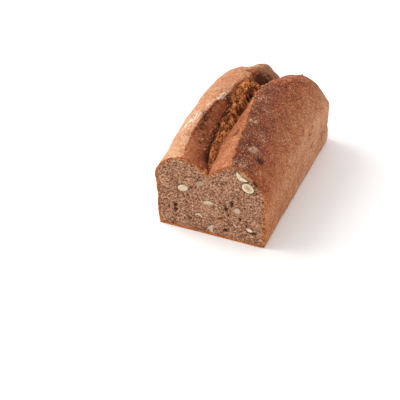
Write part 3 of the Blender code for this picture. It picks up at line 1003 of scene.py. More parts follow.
# %% Distances in the cut
def oval_reach(px, pz, x, z, length, width, tilt, bend=0.0):
    """How far points lie from an oval's middle, with 1 on its edge."""
    turn = math.radians(tilt)
    dx, dz = px - x, pz - z
    a = (dx * math.cos(turn) + dz * math.sin(turn)) / (length / 2)
    b = -dx * math.sin(turn) + dz * math.cos(turn)
    b = (b - bend * (1 - 2 * np.clip(a, -1, 1) ** 2)) / (width / 2)
    return np.hypot(a, b)


def outline_distance(px, pz):
    """The distance of each point from the cut's outline."""
    line = np.vstack([cut_outline, cut_outline[:1]])
    nearest = np.full(px.shape, np.inf)
    for a, b in zip(line, line[1:]):
        step = b - a
        t = np.clip(((px - a[0]) * step[0] + (pz - a[1]) * step[1]) / (step @ step), 0, 1)
        nearest = np.minimum(nearest, np.hypot(px - a[0] - t * step[0], pz - a[1] - t * step[1]))
    return nearest


px, pz = patch[..., 0].ravel(), patch[..., 1].ravel()
rim_distance = outline_distance(px, pz)
print("deepest point of the cut lies", round(float(rim_distance.max()) * 1000, 1), "mm from the crust")

# %% Press pores into the crumb
# how many pores, smallest and largest radius
PORES = ((4200, 0.00040, 0.00065), (1500, 0.00060, 0.00092), (220, 0.00085, 0.00130))
PORE_NARROW, PORE_WIDE, PORE_SINK = 0.75, 1.5, 1.15
CUT_GRAIN, CUT_GRAIN_SIZE = 0.00016, 0.0011
CUT_SWAY, CUT_SWAY_SIZE = 0.00025, 0.0120
HOLE_ROUGH = 0.22
SOCKET_GAP, SOCKET_DEPTH = 0.0004, 0.0014
UNCUT_RIM = 0.0006


def pore_depth(px, pz, seed):
    """How far the pores sink the face at each point, in metres."""
    chance = random_bits(seed)
    depth = np.zeros(len(px))
    order = np.argsort(px)
    sorted_x = px[order]
    for count, small, large in PORES:
        at_x = chance.uniform(px.min(), px.max(), count)
        at_z = chance.uniform(pz.min(), pz.max(), count)
        radius = chance.uniform(small, large, count)
        stretch = chance.uniform(PORE_NARROW, PORE_WIDE, count)
        for cx, cz, r, wide in zip(at_x, at_z, radius, stretch):
            first, end = np.searchsorted(sorted_x, (cx - r * wide, cx + r * wide))
            near = order[first:end]
            far = ((px[near] - cx) / (r * wide)) ** 2 + ((pz[near] - cz) / r) ** 2
            inside = near[far < 1]
            depth[inside] = np.maximum(depth[inside], PORE_SINK * r * np.sqrt(1 - far[far < 1]))
    return depth


crumb_depth = pore_depth(px, pz, 11)
texture = np.array([noise.noise(Vector((a, 0.0, b)) / CUT_GRAIN_SIZE) for a, b in zip(px, pz)])
sway = np.array([noise.noise(Vector((a, 0.7, b)) / CUT_SWAY_SIZE) for a, b in zip(px, pz)])
crumb_depth += CUT_GRAIN * texture + CUT_SWAY * sway
print("pores pressed:", sum(count for count, small, large in PORES))

# %% Sink the holes and the sockets
for hx, hz, long, wide, tilt, deep in HOLES:
    reach = oval_reach(px, pz, hx, hz, long, wide, tilt) + HOLE_ROUGH * texture
    crumb_depth = np.maximum(crumb_depth, deep * np.sqrt(np.clip(1 - reach**2, 0, 1)))
in_nut = np.zeros(len(px), bool)
for nx, nz, long, wide, tilt, bend, _ in NUTS.values():
    reach = oval_reach(px, pz, nx, nz, long + SOCKET_GAP, wide + SOCKET_GAP, tilt, bend)
    crumb_depth = np.where(reach < 1, SOCKET_DEPTH, crumb_depth)
    in_nut |= reach < 1
crumb_depth *= np.clip(rim_distance / UNCUT_RIM, 0, 1)
print("crumb sinks up to", round(float(crumb_depth.max()) * 1000, 2), "mm")

# %% [markdown]
# ## The crumb's finish
#
# Rye and ground nuts make a greyish brown crumb with pale walls round its pores, darker blotches and
# light flecks of bran. Where it nears the crust it turns orange brown within two millimetres. The mesh
# carries each point's distance from the outline for that, so the edge follows the loaf's own shape.

# %% Crumb material
CRUMB_LIGHT = (0.78, 0.48, 0.305)
CRUMB = (0.395, 0.182, 0.098)
CRUMB_DARK = (0.185, 0.074, 0.037)
PORE_SHADE = (0.095, 0.036, 0.018)
CRUST_EDGE = (0.70, 0.25, 0.072)
CRUST_EDGE_DARK = (0.42, 0.125, 0.036)
SKIN_BROWN = (0.36, 0.105, 0.038)
PALE_BIT = (0.60, 0.47, 0.31)
EDGE_FROM_MM, EDGE_TO_MM = 1.9, 2.9


def crumb_material():
    material, tree, shader, place = new_material("crumb")
    clouds, walls = grain(tree, place, 0.0075, 3), grain(tree, place, 0.0017, 3, 0.6)
    tone = minus(tree, plus(tree, times(tree, walls, 1.6), times(tree, clouds, 0.40)), 0.50, clamp=True)
    colour = ramp_colours(tree, tone, ((0.24, CRUMB_DARK), (0.46, CRUMB), (0.82, CRUMB_LIGHT)))
    cells = put(tree, "ShaderNodeTexVoronoi", {"Vector": place, "Scale": 1 / 0.0019}).outputs["Distance"]
    small_pores = minus(tree, 1.0, between(tree, cells, 0.16, 0.34))
    flecks = between(tree, grain(tree, place, 0.0016, 2, 0.7), 0.62, 0.70)
    colour = blend_colours(tree, times(tree, flecks, 0.75), colour, CRUMB_LIGHT)
    colour = blend_colours(tree, attribute(tree, "skin"), colour, SKIN_BROWN)
    colour = blend_colours(tree, attribute(tree, "pale"), colour, PALE_BIT)

    from_rim = plus(tree, attribute(tree, "rim_mm"), times(tree, minus(tree, walls, 0.5), 2.0))
    edge = blend_colours(tree, between(tree, walls, 0.40, 0.62), CRUST_EDGE_DARK, CRUST_EDGE)
    colour = blend_colours(tree, between(tree, from_rim, EDGE_FROM_MM, EDGE_TO_MM), edge, colour)
    # painted shade in the pores: the deeper a point lies, and inside the texture's small pores, the darker
    deep = plus(tree, attribute(tree, "deep"), times(tree, small_pores, 0.50), clamp=True)
    finish_surface(tree, shader, blend_colours(tree, deep, colour, PORE_SHADE), 0.85, 0.22)
    raise_surface(tree, shader, minus(tree, walls, times(tree, small_pores, 0.6)), 0.0006)
    return material


crumb_skin = crumb_material()
print("crumb material nodes:", len(crumb_skin.node_tree.nodes))

# %% Make the cut face
FACE_BACK, FACE_BACK_SHARE = 0.0050, 0.97
BIT_ROUGH, BIT_SOFT = 0.25, 0.25
DEEP_FROM, DEEP_OVER, DEEPEST_PORE_SHADE = 0.00024, 0.0014, 0.92


def oval_share(spec):
    """1 inside a flake or bit in the cut, with a soft ragged edge."""
    reach = oval_reach(px, pz, *spec) + BIT_ROUGH * texture
    return np.clip((1 - reach) / BIT_SOFT, 0, 1)


def make_cut_face():
    columns, rows = ACROSS + 1, UPWARD + 1
    front = np.stack([px, CUT_Y + crumb_depth, pz], axis=-1)
    loop = edge_loop(rows, columns)
    back = shrunk(front[loop], FACE_BACK_SHARE, np.array([0.0, CUT_Y, CUT_MIDDLE_Z]))
    back[:, 1] = CUT_Y + FACE_BACK
    inner = len(front) + np.arange(len(loop))
    points = np.vstack([front, back, [[0.0, CUT_Y + FACE_BACK, CUT_MIDDLE_Z]]])
    faces = [sheet_faces(0, rows, columns), band_faces(loop, inner), fan_faces(inner, inner[-1] + 1)]

    def padded(table):
        return np.concatenate([table, np.zeros(len(loop) + 1)])

    values = {
        # painted shade in pores and holes, from each point's depth, none in the nuts' sockets
        "deep": padded(np.clip((crumb_depth - DEEP_FROM) / DEEP_OVER, 0, DEEPEST_PORE_SHADE) * ~in_nut),
        "rim_mm": padded(rim_distance * 1000),
        "skin": padded(oval_share(SKIN_FLAKE) * 0.9),
        "pale": padded(sum(oval_share(bit) for bit in PALE_BITS).clip(0, 1) * 0.55),
    }
    return piece("crumb_face", points, faces, crumb_skin, values)


crumb_face = make_cut_face()

# %% [markdown]
# ## The torn strip
#
# Where the top tore, crumb that never met the tin or the knife shows as a craggy ridge. It is a grid of
# its own between the two feet of the split, and behind its middle it climbs the left wall, where that is
# torn too. Several sizes of noise raise it, rounded cells make the lumps, and pits and a few holes break
# it, with painted shade in the holes. It sinks along both edges, which leaves gaps beside it that
# painted shade darkens further.

# %% The strip's line across the split
STRIP_FROM, STRIP_TO = 0.010, 0.135
STRIP_STARTS_OVER, STRIP_ENDS_OVER, STRIP_END_SINK = 0.006, 0.008, 0.003
STRIP_LEFT_OVERLAP, STRIP_RIGHT_OVERLAP, STRIP_RIGHT_LIFT = 0.0004, 0.0020, 0.0004
CLIMB_FROM, CLIMB_OVER, CLIMB = 0.092, 0.014, 0.78


def strip_line(s):
    """The strip's line across the split: right foot, left foot, and up the left wall where that tore."""
    right_foot = along(RIGHT_FOOT_X, s) + STRIP_RIGHT_OVERLAP, along(RIGHT_FOOT_Z, s) + STRIP_RIGHT_LIFT
    left_foot = along(LEFT_FOOT_X, s) - STRIP_LEFT_OVERLAP, along(LEFT_FOOT_Z, s)
    crest = along(LEFT_CREST_X, s), along(LEFT_CREST_Z, s)
    share = CLIMB * float(rising(s, CLIMB_FROM, CLIMB_OVER))
    up = 1 - (1 - share) ** along(LEFT_WALL_FALL, s)
    end = left_foot[0] + (crest[0] - left_foot[0]) * share, left_foot[1] + (crest[1] - left_foot[1]) * up
    return np.array([right_foot, left_foot, end])


print("the strip is", round((STRIP_TO - STRIP_FROM) * 1000, 1), "mm long")

# %% Crags, lumps and pits
STRIP_ROWS, STRIP_COLUMNS = 380, 60
CRAG_SIZE, CRAG_HEIGHT = 0.0075, 0.0036
LUMP_SIZE, LUMP_HEIGHT, LUMP_REACH = 0.0034, 0.0018, 0.70
BIT_SIZE, BIT_HEIGHT, BIT_REACH = 0.0014, 0.0014, 0.75
NUB_SIZE, NUB_HEIGHT = 0.0012, 0.0014
BEND_SIZE, BEND_BY = 0.0034, 0.0022
STRETCHED = 0.72
RIGHT_SWAY, RIGHT_SWAY_SIZE = 0.0012, 0.006
LEFT_SWAY, LEFT_SWAY_SIZE = 0.0014, 0.005
MOUND_SHARE, STRIP_PROUD, STRIP_EDGE_SINK = 1.15, 0.0008, 0.0026
PITS, PIT_SMALL, PIT_LARGE, PIT_SINK = 110, 0.0007, 0.0024, 1.6
# holes beside the strip that sink deepest and get the darkest painted shade: place across and back, radius
DEEP_PITS = (
    (-0.0171, 0.0830, 0.0023),
    (-0.0183, 0.0769, 0.0021),
    (-0.0189, 0.0657, 0.0017),
    (-0.0066, 0.1125, 0.0026),
    (-0.0076, 0.1075, 0.0018),
)
DEEP_PIT_SINK, DEEP_PIT_SHADE = 1.5, 2.4
# painted shade on the strip: depth where a pit is fully dark, and how dark its edges, between lumps and
# between bits
PIT_FULL_SHADE_AT, EDGE_SHADE, LUMP_SHADE, BIT_SHADE = 0.0022, 0.35, 0.45, 0.35
# the most painted shade on the strip, and how much less of it there is near the cut
DARKEST_STRIP_SHADE, LESS_SHADE_NEAR_CUT = 0.85, 0.46


def wander(place):
    """A push in any direction that changes smoothly from place to place."""
    apart = ((9.3, -1.5, -8.0), (0, 0, 0), (6.3, 11.2, 0.2))
    return Vector([noise.noise(place + Vector(shift)) for shift in apart])


def rounded_cell(place, size, reach):
    """How high a rounded lump stands at a place, 1 on its top and 0 between lumps."""
    return 1 - min(1.0, noise.voronoi(place / size)[0][0] / reach) ** 2


def bowl(back, across, radius):
    """1 in the middle of a round pit, 0 on its edge and less outside."""
    return 1 - (back**2 + across**2) / radius**2


print("lumps about", LUMP_SIZE * 1000, "mm and bits about", BIT_SIZE * 1000, "mm across")

# %% Shape the torn strip
def torn_strip():
    """The strip's points, and how much painted shade each gets from how deep it lies below the ridge round
    it.
    """
    chance = random_bits(5)
    pits = [
        (chance.uniform(STRIP_FROM, STRIP_TO), chance.uniform(0, 1), chance.uniform(PIT_SMALL, PIT_LARGE))
        for _ in range(PITS)
    ]
    top = np.zeros((STRIP_ROWS + 1, STRIP_COLUMNS + 1, 3))
    hollow, deep = np.zeros(top.shape[:2]), np.zeros(top.shape[:2])
    for i in range(STRIP_ROWS + 1):
        s = STRIP_FROM + (STRIP_TO - STRIP_FROM) * i / STRIP_ROWS
        line = strip_line(s)
        line[0, 0] += RIGHT_SWAY * noise.noise(Vector((s, 0.2, 0.0)) / RIGHT_SWAY_SIZE)
        line[1:, 0] += LEFT_SWAY * noise.noise(Vector((s, 0.9, 0.0)) / LEFT_SWAY_SIZE)
        wide = distance_along(line)[-1]
        row = points_at(line, np.arange(STRIP_COLUMNS + 1) / STRIP_COLUMNS * wide).tolist()
        mound = along(TORN_MOUND, s)
        there = max(0.0, min(1.0, (s - STRIP_FROM) / STRIP_STARTS_OVER, (STRIP_TO - s) / STRIP_ENDS_OVER))
        near_pits = [shaded_pit for shaded_pit in pits if abs(shaded_pit[0] - s) < shaded_pit[2]]
        for j, (x, z) in enumerate(row):
            t = j / STRIP_COLUMNS
            place = Vector((x, STRETCHED * s, z))
            place += BEND_BY * wander(place / BEND_SIZE)
            lump = rounded_cell(place, LUMP_SIZE, LUMP_REACH)
            bit = rounded_cell(place, BIT_SIZE, BIT_REACH)
            crags = CRAG_HEIGHT * noise.noise(place / CRAG_SIZE)
            crags = crags + LUMP_HEIGHT * (lump - 0.6) + BIT_HEIGHT * (bit - 0.6)
            crags += NUB_HEIGHT * noise.noise(place / NUB_SIZE)
            shape = math.sin(math.pi * t) ** 0.6
            rise = mound * MOUND_SHARE * shape + (crags + STRIP_PROUD) * shape - STRIP_EDGE_SINK * (1 - shape)
            sink = 0.0
            for back, share, radius in near_pits:
                inside = bowl(s - back, (t - share) * wide, radius)
                if inside > 0:
                    sink = max(sink, PIT_SINK * radius * math.sqrt(inside))
            # the deepest holes also get the darkest painted shade
            for across, back, radius in DEEP_PITS:
                inside = bowl(s - back, x - across, radius)
                if inside > 0:
                    sink = max(sink, DEEP_PIT_SINK * radius * math.sqrt(inside))
                    deep[i, j] = max(deep[i, j], min(1.0, DEEP_PIT_SHADE * inside))
            top[i, j] = (x, s + CUT_Y, z + (rise - sink) * there - STRIP_END_SINK * (1 - there))
            # painted shade: darker in pits, along the sunk edges and between lumps and bits
            shade = min(1.0, sink / PIT_FULL_SHADE_AT) + (1 - shape) * EDGE_SHADE
            hollow[i, j] = shade + (1 - lump) ** 2 * LUMP_SHADE + (1 - bit) ** 2 * BIT_SHADE
    # less painted shade near the cut
    near_cut = falling(top[..., 1] - CUT_Y, 0.080, 0.040)
    return top, np.maximum(hollow.clip(0, DARKEST_STRIP_SHADE) * (1 - LESS_SHADE_NEAR_CUT * near_cut), deep)


strip_top, strip_hollow = torn_strip()
print("torn strip rises to", round(float(strip_top[..., 2].max()) * 1000, 1), "mm")

# %% [markdown]
# ## The torn strip's finish and its underside
#
# The strip dried in the oven's heat without a skin, so it is orange brown. Its pits are nearly black with
# painted shade: how deep each point lies is known from shaping it, and that value darkens the pits, as
# painted shade also darkens the strip's edges and the hollows between its lumps. A second sheet below the
# first closes the piece, out of sight inside the crust.

# %% Torn crumb material
TORN_LIGHT = (1.0, 0.44, 0.145)
TORN = (0.66, 0.185, 0.048)
TORN_DARK_AND_SHADE = (0.110, 0.025, 0.008)
TORN_PIT_SHADE = (0.030, 0.010, 0.007)


def torn_material():
    material, tree, shader, place = new_material("torn_crumb")
    tufts, bits = grain(tree, place, 0.0040, 3), grain(tree, place, 0.0012, 3, 0.65)
    tone = minus(tree, plus(tree, times(tree, bits, 2.2), times(tree, tufts, 0.9)), 1.05, clamp=True)
    colour = ramp_colours(tree, tone, ((0.26, TORN_DARK_AND_SHADE), (0.46, TORN), (0.70, TORN_LIGHT)))
    # painted shade in the strip's pits, edges and hollows, nearly black where deepest
    colour = blend_colours(tree, attribute(tree, "hollow"), colour, TORN_DARK_AND_SHADE)
    darkest_shade = between(tree, attribute(tree, "hollow"), 0.86, 1.0)
    finish_surface(tree, shader, blend_colours(tree, darkest_shade, colour, TORN_PIT_SHADE), 0.82, 0.25)
    raise_surface(tree, shader, bits, 0.0012)
    return material


torn_skin = torn_material()
print("torn crumb material nodes:", len(torn_skin.node_tree.nodes))

# %% Make the torn strip
STRIP_THICKNESS = 0.0050


def make_torn_strip():
    rows, columns = strip_top.shape[:2]
    top = strip_top.reshape(-1, 3)
    under = top - [0.0, 0.0, STRIP_THICKNESS]
    loop = edge_loop(rows, columns)
    sheets = [sheet_faces(first, rows, columns) for first in (0, len(top))]
    faces = [*sheets, band_faces(loop, loop + len(top))]
    # the underside gets full painted shade, out of sight
    hollow = np.concatenate([strip_hollow.ravel(), np.ones(len(top))])
    return piece("torn_crumb", np.vstack([top, under]), faces, torn_skin, {"hollow": hollow})


torn_crumb = make_torn_strip()

# %% [markdown]
# ## Cut hazelnuts
#
# The knife went through each nut, so each has a flat pale face with a thin brown line of skin round it
# and a rounded back in its socket. One was cut right through its middle and shows the small hollow
# between its halves. One function makes them all from the same sizes as the measured nodes, which these
# finer ones stand for.

# %% Nut material
NUT_CREAM = (0.62, 0.48, 0.30)
NUT_WHITE = (0.76, 0.66, 0.49)
NUT_HOLLOW = (0.50, 0.30, 0.12)
NUT_SKIN = (0.30, 0.13, 0.055)
NUT_DULL = (0.36, 0.225, 0.125)


def nut_material():
    material, tree, shader, place = new_material("cut_nut")
    veins = between(tree, grain(tree, place, 0.0022, 3), 0.35, 0.65)
    colour = blend_colours(tree, veins, NUT_CREAM, NUT_WHITE)
    for name, shade in (("dull", NUT_DULL), ("heart", NUT_HOLLOW), ("skin", NUT_SKIN)):
        colour = blend_colours(tree, attribute(tree, name), colour, shade)
    finish_surface(tree, shader, colour, 0.48, 0.40)
    raise_surface(tree, shader, grain(tree, place, 0.0007, 3, 0.6), 0.00018)
    return material


nut_flesh = nut_material()
print("nut material nodes:", len(nut_flesh.node_tree.nodes))

# %% Rings of a nut
NUT_SPOKES, FACE_RINGS, BACK_RINGS = 64, 14, 8
NUT_DEPTH_SHARE, NUT_WOBBLE = 0.42, 0.06
NUT_PROUD, NUT_DISH, NUT_BACK_FROM = 0.00015, 0.00012, 0.0002
NUT_FACE_SHARE, SKIN_LINE = 0.985, 0.75
HOLLOW_DEPTH, HOLLOW_BROWN = 0.0011, 0.9
HALVES_DULL, HALVES_TO = 0.42, 0.70
NUT_EDGE = math.radians(50)
spoke = np.linspace(0, 2 * math.pi, NUT_SPOKES, endpoint=False)


def nut_rings(depth, dull, with_hollow):
    """Rings over the cut face and down the back: share of the size, depth, skin, heart and dullness."""
    rings = []
    for k in range(1, FACE_RINGS + 1):
        share = k / FACE_RINGS
        heart, sunk = 0.0, NUT_DISH * (1 - share)
        if with_hollow:
            reach = share / (0.16 + 0.34 * np.abs(np.cos(spoke)))
            heart = np.clip(1.25 - reach, 0, 1) * HOLLOW_BROWN
            sunk = HOLLOW_DEPTH * np.clip(1 - reach, 0, 1) ** 0.7
        dulled = HALVES_DULL if with_hollow and share * NUT_FACE_SHARE < HALVES_TO else dull
        skin = SKIN_LINE if k == FACE_RINGS else 0.0
        rings.append((share * NUT_FACE_SHARE, sunk - NUT_PROUD, skin, heart, dulled))
    for k in range(BACK_RINGS):
        turn = math.pi / 2 * k / BACK_RINGS
        share = math.cos(turn)
        dulled = HALVES_DULL if with_hollow and share < HALVES_TO else dull
        rings.append((share, NUT_BACK_FROM + depth * math.sin(turn), 1.0, 0.0, dulled))
    return rings


print("rings of a nut:", FACE_RINGS + BACK_RINGS)

# %% Make the nuts
def make_nut(name, spec, with_hollow):
    x, z, length, width, tilt, bend, dull = spec
    seed = sum(ord(letter) for letter in name)
    bumps = [noise.noise(Vector((math.cos(a), math.sin(a), seed * 0.37)) * 1.4) for a in spoke]
    wobble = 1 + NUT_WOBBLE * np.array(bumps)
    depth = NUT_DEPTH_SHARE * length
    rings = nut_rings(depth, dull, with_hollow)
    cos, sin = math.cos(math.radians(tilt)), math.sin(math.radians(tilt))
    points = []
    for share, back, *_ in rings:
        a, b = np.cos(spoke) * share * wobble, np.sin(spoke) * share * wobble
        long_way, short_way = a * length / 2, b * width / 2 + bend * (1 - 2 * a * a)
        right, up = long_way * cos - short_way * sin, long_way * sin + short_way * cos
        points.append(np.stack([x + right, CUT_Y + np.broadcast_to(back, right.shape), z + up], axis=-1))
    face_back = (HOLLOW_DEPTH if with_hollow else NUT_DISH) - NUT_PROUD
    middles = [(x - bend * sin, CUT_Y + back, z + bend * cos) for back in (face_back, NUT_BACK_FROM + depth)]
    count = len(rings) * NUT_SPOKES
    faces = [
        sheet_faces(0, len(rings), NUT_SPOKES, around=True),
        fan_faces(np.arange(NUT_SPOKES), count),
        fan_faces(np.arange(count - NUT_SPOKES, count), count + 1),
    ]
    heart = HOLLOW_BROWN if with_hollow else 0.0
    in_middles = {"skin": (0.0, 1.0), "heart": (heart, 0.0), "dull": (dull, dull)}
    values = {}
    for k, (key, last_two) in enumerate(in_middles.items(), start=2):
        values[key] = np.concatenate([np.broadcast_to(ring[k], NUT_SPOKES) for ring in rings] + [last_two])
    made = piece(f"{name}_kernel", np.vstack([*points, middles]), faces, nut_flesh, values, NUT_EDGE)
    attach(made, "root")
    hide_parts(name)
    return made


nuts = [make_nut(name, spec, name == "hazelnut_whole") for name, spec in NUTS.items()]
print("cut nuts:", len(nuts))

# %% [markdown]
# ## Torn bits of crust
#
# Where the crests tore, a few larger bits of crust stand up, and one angular piece lies in front of the
# knob. Each has its own place on the loaf, so they are listed and not strewn. A ball whose sides are
# planed off at random places gives each its flat broken faces.

# %% Where the bits lie
# place across and back, length, width, height, turn in degrees, how far the bit stands out, and its flour
TORN_BITS = (
    (-0.0126, 0.1376, 0.0112, 0.0078, 0.0070, 25, 0.0002, 0.0),
    (-0.0238, 0.0915, 0.0034, 0.0024, 0.0024, -30, 0.0006, 0.7),
    (-0.0226, 0.0960, 0.0028, 0.0018, 0.0018, 20, 0.0005, 0.2),
    (-0.0250, 0.0930, 0.0046, 0.0014, 0.0014, -62, 0.0004, 0.5),
    (-0.0290, 0.0500, 0.0030, 0.0024, 0.0020, 40, 0.0003, 0.0),
    (-0.0283, 0.0600, 0.0026, 0.0018, 0.0018, 10, 0.0004, 0.0),
    (-0.0222, 0.0330, 0.0026, 0.0022, 0.0018, 0, 0.0004, 0.6),
    (-0.0170, 0.0260, 0.0020, 0.0018, 0.0014, 0, 0.0003, 0.6),
    (0.0058, 0.0480, 0.0036, 0.0026, 0.0022, 30, 0.0003, 0.1),
    (0.0045, 0.0930, 0.0040, 0.0016, 0.0016, 75, 0.0006, 0.4),
    (0.0030, 0.1020, 0.0032, 0.0018, 0.0018, 60, 0.0006, 0.4),
    (0.0040, 0.1140, 0.0034, 0.0024, 0.0024, 15, 0.0010, 0.6),
    (0.0056, 0.1195, 0.0036, 0.0022, 0.0024, 50, 0.0009, 0.3),
    (0.0068, 0.1245, 0.0032, 0.0022, 0.0024, 80, 0.0009, 0.5),
    (0.0082, 0.0620, 0.0030, 0.0014, 0.0014, 80, 0.0004, 0.2),
    (0.0270, 0.1560, 0.0030, 0.0026, 0.0024, 0, 0.0006, 0.2),
    (0.0090, 0.1300, 0.0032, 0.0020, 0.0020, 30, 0.0006, 0.6),
    (0.0160, 0.1290, 0.0034, 0.0018, 0.0020, 40, 0.0006, 0.5),
    (0.0182, 0.1332, 0.0034, 0.0016, 0.0018, 60, 0.0006, 0.6),
    (0.0232, 0.1372, 0.0028, 0.0018, 0.0018, 20, 0.0006, 0.4),
)
print("bits of crust:", len(TORN_BITS))

# %% Make the bits
BIT_CUTS, BIT_CUT_NEAR, BIT_CUT_FAR = 9, 0.55, 0.80
BIT_RAGGED, BIT_RAGGED_SCALE = 0.10, 2.6
BIT_EDGE = math.radians(35)


def surface_height(x, s):
    """How high the crust's risen top lies at a place."""
    top = crust_rings[:, on_top]
    gap = np.hypot(top[..., 0] - x, top[..., 1] - CUT_Y - s)
    return float(top[..., 2].flat[gap.argmin()])


def planed(co, planes, reach, seed):
    """A point of the ball after the deepest cut there, made a little ragged."""
    over = planes @ co - reach
    worst = int(np.argmax(over))
    if over[worst] > 0:
        co = co - planes[worst] * over[worst]
    return co * (1 + BIT_RAGGED * noise.noise(Vector(co) * BIT_RAGGED_SCALE + Vector((seed, 0, 0))))


def make_torn_bits():
    """Angular bits: each is a ball whose sides are planed off at random places."""
    work = bmesh.new()
    chance = random_bits(21)
    dusty = []
    for across, back, length, width, height, turn, proud, dust in TORN_BITS:
        verts = bmesh.ops.create_icosphere(work, subdivisions=4, radius=1.0)["verts"]
        planes = chance.normal(size=(BIT_CUTS, 3))
        planes /= np.linalg.norm(planes, axis=1)[:, None]
        reach = chance.uniform(BIT_CUT_NEAR, BIT_CUT_FAR, BIT_CUTS)
        cos, sin = math.cos(math.radians(turn)), math.sin(math.radians(turn))
        middle = Vector((across, back + CUT_Y, surface_height(across, back) + proud))
        for vert in verts:
            co = planed(np.array(vert.co), planes, reach, back * 900)
            lx, ly, lz = co[0] * length / 2, co[1] * width / 2, co[2] * height / 2
            vert.co = middle + Vector((lx * cos - ly * sin, lx * sin + ly * cos, lz))
        dusty += [dust] * len(verts)
    mesh = bpy.data.meshes.new("torn_bits")
    work.to_mesh(mesh)
    work.free()
    mesh.shade_smooth()
    mesh.set_sharp_from_angle(angle=BIT_EDGE)
    dusty = np.array(dusty, np.float32)
    add_values(mesh, {"flour": dusty * 0.5, "husk": dusty, "browning": 0.56 - 0.6 * dusty})
    mesh.materials.append(crust_skin)
    return put_in_scene("torn_bits", mesh)


torn_bits = make_torn_bits()
print("points of the bits:", len(torn_bits.data.vertices))

# %% [markdown]
# ## Flour specks and crumbs
#
# Grains of flour cling to the crust and small crumbs lie along the tear. They repeat in their hundreds,
# so Geometry Nodes scatter them: points are spread over the crust's faces with a density from its own
# values, and a small rough grain is set on each, turned and scaled at random from a fixed seed. The
# grains are realized into a plain mesh, since an export drops instances.

# %% Build the scattering tree
SIZES = (("Density", 1e5), ("Smallest", 1e-4), ("Largest", 3e-4), ("Flatness", 0.5))
LEAN_AND_TURN = (0.5, 0.5, 6.2)


def name_inputs(tree):
    """Names what goes into the tree and what comes out."""
    face = tree.interface
    face.new_socket("Geometry", in_out="INPUT", socket_type="NodeSocketGeometry")
    for label, default in SIZES:
        face.new_socket(label, in_out="INPUT", socket_type="NodeSocketFloat").default_value = default
    face.new_socket("Seed", in_out="INPUT", socket_type="NodeSocketInt").default_value = 1
    face.new_socket("Material", in_out="INPUT", socket_type="NodeSocketMaterial")
    face.new_socket("Geometry", in_out="OUTPUT", socket_type="NodeSocketGeometry")


def drawn_between(tree, low, high, seed):
    """A random value for each point: a number, or three numbers where low has three."""
    three = isinstance(low, tuple)
    ends = {0: low, 1: high} if three else {2: low, 3: high}
    kind = "FLOAT_VECTOR" if three else "FLOAT"
    made = put(tree, "FunctionNodeRandomValue", {**ends, "Seed": seed}, data_type=kind)
    return made.outputs[0 if three else 1]


def scatter_tree(name, density_value):
    """A node tree that strews grains over a surface. Its sizes are named inputs."""
    tree = bpy.data.node_groups.new(name, "GeometryNodeTree")
    name_inputs(tree)
    given = put(tree, "NodeGroupInput").outputs
    seed = given["Seed"]
    chance = put(tree, "GeometryNodeInputNamedAttribute", {"Name": density_value}, data_type="FLOAT")
    chance = chance.outputs[0]
    over = {"Mesh": given["Geometry"], "Density": times(tree, chance, given["Density"]), "Seed": seed}
    spread = put(tree, "GeometryNodeDistributePointsOnFaces", over).outputs

    ball = put(tree, "GeometryNodeMeshIcoSphere", {"Radius": 1.0, "Subdivisions": 1}).outputs["Mesh"]
    bumps = put(tree, "ShaderNodeTexNoise", {"Scale": 0.9, "Detail": 1.0}).outputs["Color"]
    shift = vectors(tree, "SUBTRACT", bumps, (0.5, 0.5, 0.5))
    rough_ball = put(tree, "GeometryNodeSetPosition", {"Geometry": ball, "Offset": shift}).outputs[0]

    size = drawn_between(tree, given["Smallest"], given["Largest"], seed)
    flat = times(tree, size, given["Flatness"])
    shape = put(tree, "ShaderNodeCombineXYZ", {"X": size, "Y": size, "Z": flat}).outputs[0]
    turn = {0: spread["Rotation"], 1: drawn_between(tree, (0, 0, 0), LEAN_AND_TURN, seed)}
    turned = put(tree, "FunctionNodeRotateRotation", turn, rotation_space="LOCAL").outputs[0]
    grains = {"Points": spread["Points"], "Instance": rough_ball, "Rotation": turned, "Scale": shape}
    placed = put(tree, "GeometryNodeInstanceOnPoints", grains).outputs[0]
    real = put(tree, "GeometryNodeRealizeInstances", {0: placed}).outputs[0]
    painted = put(tree, "GeometryNodeSetMaterial", {"Geometry": real, "Material": given["Material"]})
    put(tree, "NodeGroupOutput", {0: painted.outputs[0]})
    return tree


print("a scattering tree has", len(SIZES), "sizes")

# %% Run a scattering tree
def scattered(name, surface, tree, sizes):
    """Runs a scattering tree over a copy of surface and keeps the result as a plain mesh."""
    carrier = put_in_scene(name + "_carrier", surface.data)
    modifier = carrier.modifiers.new("scatter", "NODES")
    modifier.node_group = tree
    socket_of = {item.name: item.identifier for item in tree.interface.items_tree if item.in_out == "INPUT"}
    for label, value in sizes.items():
        modifier[socket_of[label]] = value
    graph = bpy.context.evaluated_depsgraph_get()
    mesh = bpy.data.meshes.new_from_object(carrier.evaluated_get(graph))
    mesh.name = name
    bpy.data.objects.remove(carrier)
    print(f"{name}: {len(mesh.polygons)} faces")
    return put_in_scene(name, mesh)


print("scattering helpers ready")

# %% Strew flour and crumbs
def speck_material(name, light, dark):
    material, tree, shader, place = new_material(name)
    mottle = between(tree, grain(tree, place, 0.0012, 2), 0.4, 0.6)
    finish_surface(tree, shader, blend_colours(tree, mottle, dark, light), 0.9)
    return material


